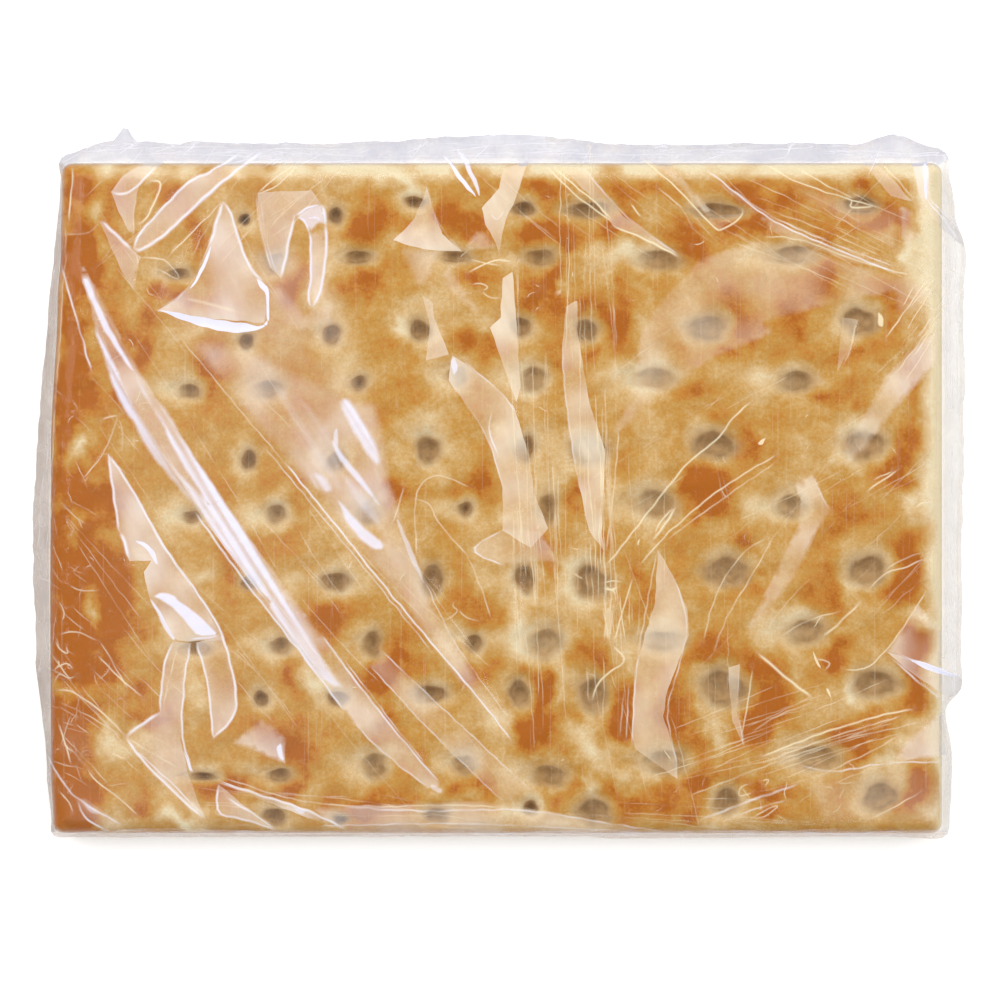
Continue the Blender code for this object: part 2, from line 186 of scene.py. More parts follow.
# Patches of the crust that are browner than the rest, or paler where the change is negative: the change, and
# the middle, half length and half width of each
CRUST_PATCHES = (
    (-1, ((-183, -53, 4, 9),)), (-0.9, ((-44, 141, 13, 6), (191, -54, 7, 6))),
    (-0.8, (
        (-191, 23, 6, 4), (-138, -144, 13, 4), (-34, 119, 7, 7), (-172, -111, 7, 9), (-43, 79, 7, 4),
        (20, -64, 15, 8),
    )),
    (-0.7, ((190, 116, 5, 20), (-172, 145, 16, 4), (187, -7, 6, 6), (185, -108, 8, 8), (69, 55, 18, 8))),
    (-0.6, (
        (-184, 127, 6, 4), (99, -107, 4, 9), (-104, 148, 13, 4), (-76, 93, 6, 12), (3, -8, 9, 5),
        (1, 34, 7, 6), (125, -34, 6, 13), (195, -142, 5, 4), (-34, 33, 10, 6), (15, 54, 12, 9),
        (166, 82, 12, 9), (139, -54, 16, 8), (167, -86, 15, 10), (83, -120, 18, 5), (42, -136, 5, 10),
        (-99, -8, 15, 8), (-70, -37, 14, 7),
    )),
    (-0.55, ((132, -4, 18, 8),)),
    (-0.5, (
        (-176, -144, 10, 4), (178, 54, 6, 11), (-187, 18, 5, 7), (2, -106, 6, 12), (95, -144, 13, 4),
        (-72, 140, 9, 5), (-87, -42, 7, 7), (-137, -35, 13, 5), (-151, -58, 6, 5), (-194, -86, 5, 6),
        (-25, -128, 10, 4), (-160, -24, 6, 5), (26, -84, 4, 12), (-144, 49, 13, 6), (-36, 89, 13, 6),
        (-68, 62, 9, 9), (62, 108, 17, 7), (161, 25, 12, 10), (31, 102, 4, 9), (107, -86, 13, 11),
        (181, -120, 11, 5), (11, -57, 7, 15), (39, -110, 13, 7), (-57, -122, 15, 8), (-16, -66, 12, 6),
    )),
    (-0.45, ((-99, -69, 13, 7),)),
    (-0.4, (
        (-5, -39, 10, 11), (29, -47, 11, 8), (-27, -70, 6, 15), (136, -76, 4, 15), (163, -93, 7, 6),
        (65, -126, 6, 8), (-170, 126, 4, 7), (-52, -19, 6, 13), (11, -138, 9, 6), (29, -148, 27, 3),
        (-41, 22, 7, 5), (-9, 147, 13, 4), (-133, 75, 20, 4), (-185, 77, 6, 6), (-78, -86, 9, 18),
        (-137, -91, 5, 13), (10, -136, 11, 9), (-23, 1, 6, 9), (132, 110, 21, 7), (125, 54, 13, 7),
        (74, -59, 9, 10), (40, -35, 13, 13), (168, -35, 14, 13), (-137, -8, 15, 6), (-110, 22, 8, 9),
        (-142, -136, 8, 11), (-160, -109, 7, 9),
    )),
    (-0.3, (
        (65, 75, 6, 11), (92, 31, 9, 7), (71, 31, 12, 9), (31, 13, 7, 13), (-169, -10, 6, 7),
        (-75, -82, 9, 13), (-5, 75, 7, 7), (65, -73, 4, 12), (-176, 105, 8, 5), (71, 1, 11, 7),
        (136, -114, 15, 6), (-66, -64, 6, 9),
    )),
    (-0.25, ((-119, -64, 22, 13),)), (-0.2, ((-68, -19, 18, 12),)), (0.1, ((-131, -32, 8, 4),)),
    (0.2, ((-121, -60, 9, 5), (2, -112, 6, 5))),
    (0.3, ((-45, 69, 10, 7), (-51, 37, 6, 7), (-110, -39, 4, 10), (-131, -134, 4, 7))),
    (0.4, (
        (-188, -46, 6, 11), (-128, 48, 5, 9), (-3, 136, 7, 6), (-50, -104, 8, 6), (150, -12, 10, 12),
        (97, -126, 6, 4), (42, 80, 5, 13), (-122, 87, 9, 5), (159, 44, 11, 6), (134, 90, 11, 10),
    )),
    (0.45, ((-168, 55, 8, 12),)),
    (0.5, (
        (-160, -136, 5, 8), (-15, 3, 9, 8), (184, 143, 5, 6), (172, 13, 8, 6), (56, 22, 5, 13),
        (-101, -21, 10, 10), (-57, -82, 10, 6), (-12, -46, 12, 9), (136, 60, 12, 6), (-51, -96, 5, 6),
        (66, -41, 6, 19), (-43, 91, 18, 4), (110, -3, 4, 6), (-99, 51, 11, 10), (158, -6, 8, 12),
        (-3, -57, 13, 5), (-119, -31, 6, 13), (-96, -13, 7, 5), (87, 33, 6, 5), (-129, 57, 10, 11),
    )),
    (0.6, (
        (-189, 44, 7, 11), (-172, -10, 8, 6), (-178, -33, 11, 8), (-185, -76, 13, 6), (-190, -108, 9, 10),
        (-178, -131, 5, 5), (-160, -86, 7, 6), (-135, 116, 4, 13), (-70, 136, 6, 8), (-63, 98, 9, 8),
        (-23, 127, 7, 7), (29, 80, 5, 13), (71, 138, 12, 6), (160, 66, 10, 8), (-88, -3, 5, 13),
        (-9, -77, 8, 8), (-45, -135, 15, 6), (23, -28, 5, 11), (-22, -33, 6, 13), (-51, -126, 8, 5),
        (-89, -128, 7, 5), (74, -91, 5, 13), (134, 78, 9, 9), (-172, -76, 6, 5), (-31, -121, 6, 5),
        (65, 66, 5, 9), (-54, 110, 8, 6), (-5, 10, 6, 10), (-198, -10, 6, 7), (185, 53, 5, 12),
        (-10, -73, 6, 7), (-131, -131, 13, 6),
    )),
    (0.7, (
        (-192, 114, 6, 13), (-191, 141, 7, 8), (-189, 106, 6, 11), (-191, 75, 7, 18), (-149, 136, 7, 6),
        (-155, 79, 6, 6), (-1, 68, 5, 7), (20, 133, 9, 6), (175, 127, 8, 6), (43, 77, 6, 15), (34, -1, 6, 8),
        (57, -97, 6, 12), (-185, -134, 8, 7), (109, 81, 10, 13), (159, -116, 7, 6), (84, 51, 9, 6),
        (114, -86, 5, 19),
    )),
    (0.75, ((-52, 2, 10, 9),)),
    (0.8, (
        (-195, 31, 5, 20), (-188, 4, 13, 10), (-195, -100, 7, 11), (-92, 93, 6, 13), (-13, 120, 11, 7),
        (-11, 100, 10, 4), (-17, 69, 7, 6), (20, 123, 9, 4), (18, 93, 11, 14), (55, 78, 7, 14),
        (102, 71, 13, 8), (44, -70, 8, 7), (92, -70, 14, 9), (175, -41, 9, 6), (-180, -20, 6, 11),
        (19, -11, 9, 9), (-170, -41, 5, 13), (-155, -98, 13, 5), (184, 120, 4, 10), (189, 6, 5, 5),
    )),
    (0.9, (
        (-194, -30, 7, 13), (-191, -64, 9, 16), (-169, -57, 8, 15), (-194, -131, 12, 19), (18, 141, 11, 5),
        (61, 100, 7, 6), (183, 22, 5, 13), (-77, -53, 13, 11), (149, -44, 8, 19), (151, -71, 10, 5),
        (122, -141, 9, 4), (189, -131, 7, 9), (23, 57, 6, 12), (-115, -127, 25, 4), (48, -32, 5, 14),
        (169, -100, 8, 8), (125, 143, 8, 4), (25, 106, 6, 8),
    )),
    (0.95, ((-92, -112, 10, 16),)),
    (1, (
        (-162, 67, 6, 8), (-56, 122, 13, 9), (145, 108, 8, 13), (174, 84, 8, 16), (-88, -79, 6, 8),
        (-11, -130, 11, 7), (16, -95, 11, 16), (83, -100, 8, 14), (157, -110, 12, 9), (78, -137, 14, 10),
        (123, -131, 13, 4), (84, -4, 7, 8), (-60, -141, 14, 5),
    )),
    (1.1, (
        (81, 112, 12, 12), (132, 131, 10, 9), (110, -31, 13, 16), (187, -86, 9, 12), (119, -114, 8, 13),
        (53, -136, 7, 13), (47, -91, 14, 12), (188, -68, 8, 11),
    )),
    (1.2, (
        (-147, 92, 10, 6), (106, 22, 12, 12), (119, -91, 13, 22), (179, -137, 10, 6), (30, -127, 9, 13),
        (144, 50, 10, 6), (89, -123, 11, 9),
    )),
    (1.3, ((50, 126, 15, 11), (22, 114, 13, 9), (-47, -74, 9, 14))),
    (1.4, ((187, -31, 11, 18), (13, -92, 8, 10))), (1.6, ((107, 128, 11, 13), (93, 6, 12, 10))),
    (2, ((165, 131, 13, 9),)),
)
PATCH_DEPTH = 0.62
PATCH_WANDER, PATCH_FRAY = 2.2, 0.88  # how far their edges stray, at large and in small

# Baking: how brown the crust is, from 0 for pale dough to 1
BAKE, MOST_BAKE = 0.47, 1.15
BAKE_RIPPLES = ((0.03, 70, 51), (0.05, 30, 52), (0.03, 11, 53))
LEFT_BAKE, HALF_BAKE = 0.16, 0.04  # how much browner the left side is, and the left half
PALE_RING, PALE_TAIL, PALE_RIGHT = 0.68, 0.62, 0.98  # paleness round dimples, left of ovals, along the right
RING_REACH, RING_GROWTH, RING_STRAY = 2.9, 0.34, 0.9  # width of a pale ring, more for its size, and stray
RING_FADE = 2.4  # how sharply a pale ring ends
PIT_START, PIT_SPAN = 0.80, 0.72  # where a dimple's painted shade and darker dough begin to fade, and how soon

# Kinds of painted light on the film: white highlights along creases, cream glints, and lamp reflections
WHITE_GLINT, CREAM_GLINT, SHINE = "milk", "cream", "shine"
BAND_ANGLE = math.radians(-57.3)  # of the lamps' long reflection
BAND_SHRINK = 0.97  # how much shorter its streaks are made while their noise is drawn
STREAKY_REFLECTION_SOFT = 1.5  # painted lamp reflections with softer edges than this are streaky
# How uneven the streaks, the creases and the veils are: the level, the ripples and the range
STREAK, STREAK_RIPPLES, STREAK_RANGE = 0.86, ((0.26, 3.2, 82),), (0.3, 1.12)
CREASE, CREASE_RIPPLES, CREASE_RANGE = 0.75, ((0.35, 15, 81),), (0.15, 1.25)
VEIL, VEIL_RIPPLE, VEIL_SEED = 0.92, (0.3, 26), 500
VEIL_EDGE, EDGE_REACH = 0.05, 1.2  # how much brighter a veil's painted reflection is at its edge, and how far in
CREASE_TAPER = 6.0
MOST_LINE, MOST_COVER = 0.97, 0.95
VEIL_COOL, VEIL_WARM = (0.81, 0.725, 0.655), (0.81, 0.70, 0.545)  # tints of the painted lamp reflections on the facets, and of the film's haze elsewhere
# Tint and cover of the slack film to the left, right, far and near side of the bread: its own haze, and on
# the left painted shade beside the bread too
MARGIN_HAZES = (
    ((0.37, 0.30, 0.27), 0.53), ((0.56, 0.535, 0.53), 0.26),
    ((0.50, 0.495, 0.56), 0.63), ((0.84, 0.70, 0.62), 0.36),
)
HAZE_START, HAZE_SPAN = -0.8, 2.0  # where the haze of the slack film begins, and how soon it is full
HAZE_RIPPLES = ((0.12, 24, 91), (0.06, 9, 92))
UNDER_SHARE, UNDER_LEAST = 0.45, 0.06  # of that cover, on the film's under side, and the least there
MIST = 0.03  # how hazy the film is between the left edge and the middle

# Fields of fine straight creases, painted with highlights along them: kind, middle, spread, direction in
# degrees, fan, count, length, strength
HAIR_SEED, SQUIGGLE_SEED = 11, 12
HAIR_SIZE, SQUIGGLE_SIZE = (0.42, 0.08), (0.40, 0.15)  # half width and lift
HAIR_FIELDS = (
    (CREAM_GLINT, (-130, 30), (50, 80), -54, 8, 22, 60, 0.34), (CREAM_GLINT, (-60, -70), (60, 60), -50, 8, 18, 60, 0.34),
    (CREAM_GLINT, (32, 20), (24, 110), -88, 3, 44, 75, 0.48), (CREAM_GLINT, (75, -60), (30, 70), -80, 14, 12, 45, 0.26),
    (CREAM_GLINT, (120, 60), (70, 70), 38, 14, 16, 50, 0.28), (CREAM_GLINT, (140, -112), (50, 22), 20, 7, 26, 55, 0.45),
    (CREAM_GLINT, (190, 78), (9, 14), 54, 5, 16, 26, 0.75), (CREAM_GLINT, (62, 128), (60, 18), -40, 8, 14, 40, 0.34),
    (CREAM_GLINT, (150, 118), (40, 20), -25, 6, 18, 50, 0.42),
    (CREAM_GLINT, (-130, 128), (50, 16), 42, 10, 14, 36, 0.34),
    (CREAM_GLINT, (-20, -140), (150, 8), -6, 6, 20, 60, 0.32), (CREAM_GLINT, (140, -30), (50, 50), 50, 10, 10, 40, 0.28),
    (CREAM_GLINT, (58, -45), (6, 12), -86, 4, 10, 18, 0.75), (CREAM_GLINT, (46, -6), (6, 46), -88, 2, 24, 32, 0.60),
    (CREAM_GLINT, (-192, -40), (8, 95), -60, 50, 46, 12, 0.42),
    (CREAM_GLINT, (-168, -100), (18, 30), -44, 8, 12, 34, 0.45),
    (WHITE_GLINT, (0, 156), (205, 5), 30, 40, 44, 14, 0.55), (WHITE_GLINT, (0, 157), (200, 4), 0, 4, 26, 60, 0.55),
    (WHITE_GLINT, (-203, 0), (4, 145), 86, 8, 24, 26, 0.40), (WHITE_GLINT, (206, 0), (4, 145), 92, 6, 40, 40, 0.55),
    (WHITE_GLINT, (0, -151), (205, 1), 0, 3, 50, 60, 0.50),
)
# Fields of small tangled creases, painted with cream glints: middle, spread, count, size of a step
SQUIGGLE_FIELDS = (
    ((-180, -60), (16, 80), 26, 1.9), ((-175, 60), (18, 60), 12, 1.8), ((30, 60), (20, 80), 14, 1.6),
    ((140, -10), (40, 60), 14, 1.6), ((110, -130), (60, 16), 16, 1.8), ((0, 100), (30, 20), 9, 1.6),
    ((-10, -60), (60, 60), 12, 1.6), ((100, 110), (70, 30), 10, 1.6),
)

# Painted reflections of the lamps on facets of the film, where it stands off the crust: strength, how soft
# the edge is, and outline
PAINTED_REFLECTIONS = {
    "v band": (0.4, 0, (
        (-163, 111.5), (-161, 118), (-151, 128.5), (-137.5, 142.5), (-125.5, 147), (-118.5, 152.5),
        (-111.5, 152.5), (-121.5, 142.5), (-133, 132.5), (-142, 123.5), (-151, 116.5), (-159.5, 111),
    )),
    "v tail": (0.34, 0, (
        (-178, 124), (-163, 111), (-159.5, 108), (-161.5, 104), (-163, 93.5), (-168, 101.5), (-173.5, 113.5),
    )),
    "small top": (0.4, 0, (
        (-173, 137.5), (-168, 144.5), (-155.5, 152.5), (-148.5, 152.5), (-159, 141), (-163.5, 137),
        (-169, 136.5),
    )),
    "small low": (0.34, 0, (
        (-173, 137.5), (-169, 136.5), (-163.5, 137), (-160.5, 140), (-163, 127), (-162.5, 118.5),
        (-165, 119.5), (-169.5, 128.5),
    )),
    "sail": (0.43, 0, (
        (-122, 133.5), (-127, 119), (-131, 108.5), (-137.5, 95.5), (-144, 88.5), (-152, 84), (-133, 81),
        (-104, 78.5), (-102.5, 86.5), (-104, 96.5), (-109.5, 102), (-115.5, 115.5),
    )),
    "hook": (0.34, 0, (
        (-107, 137), (-83, 138), (-79, 133), (-90, 126.5), (-92.5, 118), (-96.5, 98.5), (-101.5, 103.5),
        (-106, 121),
    )),
    "under hook": (0.28, 4, (
        (-102.5, 93.5), (-97, 97), (-85.5, 83.5), (-73, 89), (-72, 77.5), (-88, 73.5), (-98, 77.5),
    )),
    "hook strip": (0.52, 1, ((-83, 119.5), (-77, 121), (-76.5, 111.5), (-78, 96), (-82.5, 86), (-84, 93.5))),
    "band top": (0.34, 0.6, (
        (-187.5, 108), (-178.5, 93.5), (-167, 70), (-155.5, 50.5), (-139.5, 26), (-123, -1), (-133, -5.5),
        (-151, 20.5), (-166, 45), (-178.5, 75.5), (-186, 97),
    )),
    "band low": (0.3, 0.6, (
        (-133, -5.5), (-123, -1), (-102.5, -28.5), (-78, -61.5), (-60, -86), (-37.5, -114), (-24, -129.5),
        (-30.5, -130.5), (-54.5, -112), (-79, -81.5), (-105, -47.5),
    )),
    "left sail": (0.46, 0, (
        (-174, 20), (-166.5, 9), (-154.5, -11), (-143, -30.5), (-130, -49.5), (-122, -64), (-143, -64),
        (-154, -48.5), (-156.5, -41.5), (-158, -33), (-154.5, -28), (-164.5, -28.5), (-169.5, -13),
        (-172.5, 10.5),
    )),
    "corner fold": (0.27, 0, (
        (-144, -64.5), (-148.5, -72), (-151, -96), (-166, -107), (-148.5, -127.5), (-130.5, -144),
        (-134.5, -134), (-138, -124), (-141.5, -108.5), (-140, -77), (-137, -65),
    )),
    "corner flap": (0.36, 0, (
        (-134.5, -65), (-122, -62), (-116, -86), (-118, -99), (-127, -108), (-129, -81.5),
    )),
    "corner kite": (0.34, 0.8, (
        (-125.5, -108), (-116, -107.5), (-110.5, -103), (-106, -98.5), (-99, -102.5), (-94, -107.5),
        (-94.5, -119.5), (-102.5, -116.5), (-111.5, -112.5), (-119.5, -110),
    )),
    "corner low": (0.3, 0, ((-124.5, -128.5), (-110.5, -140), (-98.5, -149), (-115, -144.5), (-126, -142))),
    "near wave": (0.42, 0, (
        (-124.5, -126.5), (-105, -133), (-84.5, -139.5), (-68, -148), (-84.5, -143.5), (-102.5, -136.5),
    )),
    "near left": (0.36, 1.6, (
        (-188.5, -135), (-184, -134.5), (-168, -145.5), (-169.5, -150), (-178, -149), (-185, -142),
    )),
    "near left low": (0.03, 8, (
        (-200.5, -90.5), (-182.5, -96), (-166, -107), (-169, -117.5), (-151, -135.5), (-160, -150),
        (-196, -148), (-199.5, -117.5),
    )),
    "second": (0.24, 6, (
        (-143, 73.5), (-110.5, 68.5), (-74.5, 50.5), (-52, 43), (-46.5, 8), (-37.5, -21), (-27, -49.5),
        (-8, -80), (7, -100.5), (7, -109), (-22.5, -73.5), (-43, -48.5), (-78, -4.5), (-112.5, 36),
    )),
    "second top": (0.1, 8, (
        (-155.5, 106), (-133, 89), (-92.5, 73), (-52, 53), (-52, 43), (-92.5, 44), (-128.5, 55), (-151, 82),
    )),
    "second glow": (0.22, 5, (
        (-88, 13.5), (-80, 33), (-68, 46), (-54.5, 44), (-48.5, 26), (-46.5, -1), (-61, -7.5), (-77, -3),
    )),
    "second edge": (0.26, 2.5, (
        (-58.5, -3), (-47.5, 9), (-37.5, -21), (-27, -49.5), (-8, -80), (7, -100.5), (1, -101.5),
        (-18.5, -81), (-36.5, -55.5), (-48.5, -30),
    )),
    "far mist": (0.16, 10, ((-112.5, 116), (-88, 113.5), (-68, 93.5), (-61, 66.5), (-88, 63), (-115, 73))),
    "third": (0.22, 1, ((-52, -68), (-25, -93.5), (15.5, -131), (4, -137), (-29.5, -105), (-56.5, -75))),
    "peak": (0.44, 0, (
        (-31, 139.5), (-28.5, 129.5), (-24, 118.5), (-15.5, 110.5), (-32, 111.5), (-46, 115.5), (-37, 124.5),
    )),
    "peak low": (0.26, 4, ((-45.5, 114.5), (-25, 111.5), (-29.5, 95.5), (-36.5, 93.5), (-41, 106))),
    "wedge": (0.48, 0, (
        (3, 147.5), (14.5, 152), (9.5, 136), (4, 124), (1.5, 110.5), (-4.5, 122.5), (-6.5, 130), (1.5, 139),
    )),
    "wedge foot": (0.24, 1.5, ((-15.5, 110.5), (-8, 122.5), (2, 111.5))),
    "ribbon a": (0.26, 1, (
        (-24.5, 101.5), (-20, 106), (-13.5, 92.5), (-2.5, 80), (-11.5, 83.5), (-24, 95.5),
    )),
    "ribbon b": (0.5, 0, (
        (3, 99), (7.5, 101.5), (9.5, 75.5), (11, 49.5), (9, 43), (4, 57.5), (-2.5, 76.5), (2, 81),
    )),
    "ribbon c": (0.46, 0, (
        (31.5, 86), (36.5, 88.5), (36.5, 75.5), (42, 42), (49, 21.5), (47.5, -14.5), (48.5, -24),
        (41.5, -14.5), (35, 16), (30, 53), (29.5, 66.5),
    )),
    "ribbon d": (0.34, 0, ((-33, 90.5), (-28, 87.5), (-28, 81), (-21, 64.5), (-31.5, 61.5), (-29.5, 77.5))),
    "ribbon e": (0.44, 0, (
        (-19.5, 64), (-7, 55), (8, 41.5), (15, 18), (17, 2), (23.5, -13.5), (15.5, -22.5), (3, -14.5),
        (3, 4.5), (-3.5, 27), (-11, 38.5), (-21.5, 53),
    )),
    "triangle": (0.28, 1, ((-13.5, -23.5), (3, -13.5), (20, -14.5), (29.5, -30), (20, -28.5), (4, -30.5))),
    "far fold": (0.3, 0, ((28.5, 149.5), (40, 148), (56.5, 127), (82.5, 108), (52.5, 122), (45.5, 132))),
    "pocket band": (0.36, 1, ((68, 152.5), (77, 152.5), (97, 128.5), (93.5, 127.5))),
    "pocket": (0.16, 0, ((91.5, 131.5), (99, 126.5), (111.5, 128), (99, 120))),
    "far bundle": (0.2, 1.5, (
        (94, 148), (118.5, 127.5), (150, 113), (181.5, 102.5), (159, 105), (125.5, 118.5), (101.5, 138.5),
    )),
    "far peach": (0.14, 6, (
        (125.5, 143.5), (136.5, 145.5), (160, 134), (183.5, 131.5), (181.5, 106), (159, 121), (138.5, 131.5),
    )),
    "far right": (0.34, 0, ((164.5, 151), (170.5, 151), (187, 133), (177, 135.5))),
    "far right low": (0.34, 1.5, ((180.5, 131.5), (187, 129.5), (189.5, 119.5), (186, 111.5), (181.5, 116))),
    "right ear": (0.65, 0, (
        (187, 150.5), (194, 151.5), (195, 134), (212, 119.5), (211.5, 113), (195, 125.5), (189.5, 136),
    )),
    "great": (0.2, 2, (
        (89.5, 106), (97, 110), (118.5, 116), (136.5, 114), (159, 105.5), (183.5, 99.5), (197, 92.5),
        (191.5, 87.5), (180, 72), (178.5, 92), (147.5, 85.5), (120.5, 78.5), (126.5, 74), (99.5, 63),
        (71.5, 45), (46.5, 19.5), (59.5, 44), (64.5, 75.5), (73.5, 89),
    )),
    "right strip": (0.48, 2, (
        (192.5, 73), (198.5, 76.5), (198.5, 61), (183.5, 44), (169, 26), (156.5, 12.5), (155.5, 26),
        (165.5, 38.5), (174.5, 55),
    )),
    "right wisp": (0.22, 0, ((155.5, 81), (162.5, 80), (159, 66.5), (153, 56.5))),
    "right stroke": (0.38, 0.7, (
        (142, 11), (150, -6.5), (144, -16), (134.5, -36), (121, -52.5), (115, -60), (112, -58.5), (123, -37),
        (135, -12), (136.5, -1), (133, 6.5),
    )),
    "right low": (0.32, 1, (
        (189.5, -47), (200.5, -59.5), (202, -72.5), (199.5, -78), (175, -68.5), (183.5, -57),
    )),
    "right tongue": (0.6, 0, (
        (175, -68.5), (195, -76.5), (210, -81), (211, -86), (204.5, -90.5), (183.5, -76.5),
    )),
    "stocking": (0.44, 0, (
        (72.5, -23), (80.5, -37), (86, -50.5), (86.5, -61.5), (77, -86), (75, -97.5), (81.5, -120),
        (81.5, -126), (63, -113), (61, -106.5), (62, -78), (71.5, -46),
    )),
    "stub": (0.36, 0, ((104, -76), (109.5, -74.5), (108, -95), (111.5, -111.5), (106, -100.5))),
    "near right": (0.15, 6, ((136.5, -126.5), (159, -121), (201.5, -118.5), (202, -147.5), (145.5, -148))),
    "near right top": (0.42, 1, ((183.5, -108.5), (201.5, -94.5), (203.5, -116.5), (178.5, -118.5))),
    "near sheet": (0.32, 1.5, (
        (-84.5, -138.5), (-34, -136.5), (-7, -135.5), (28.5, -141), (64.5, -148.5), (64.5, -151),
        (-68, -151),
    )),
}

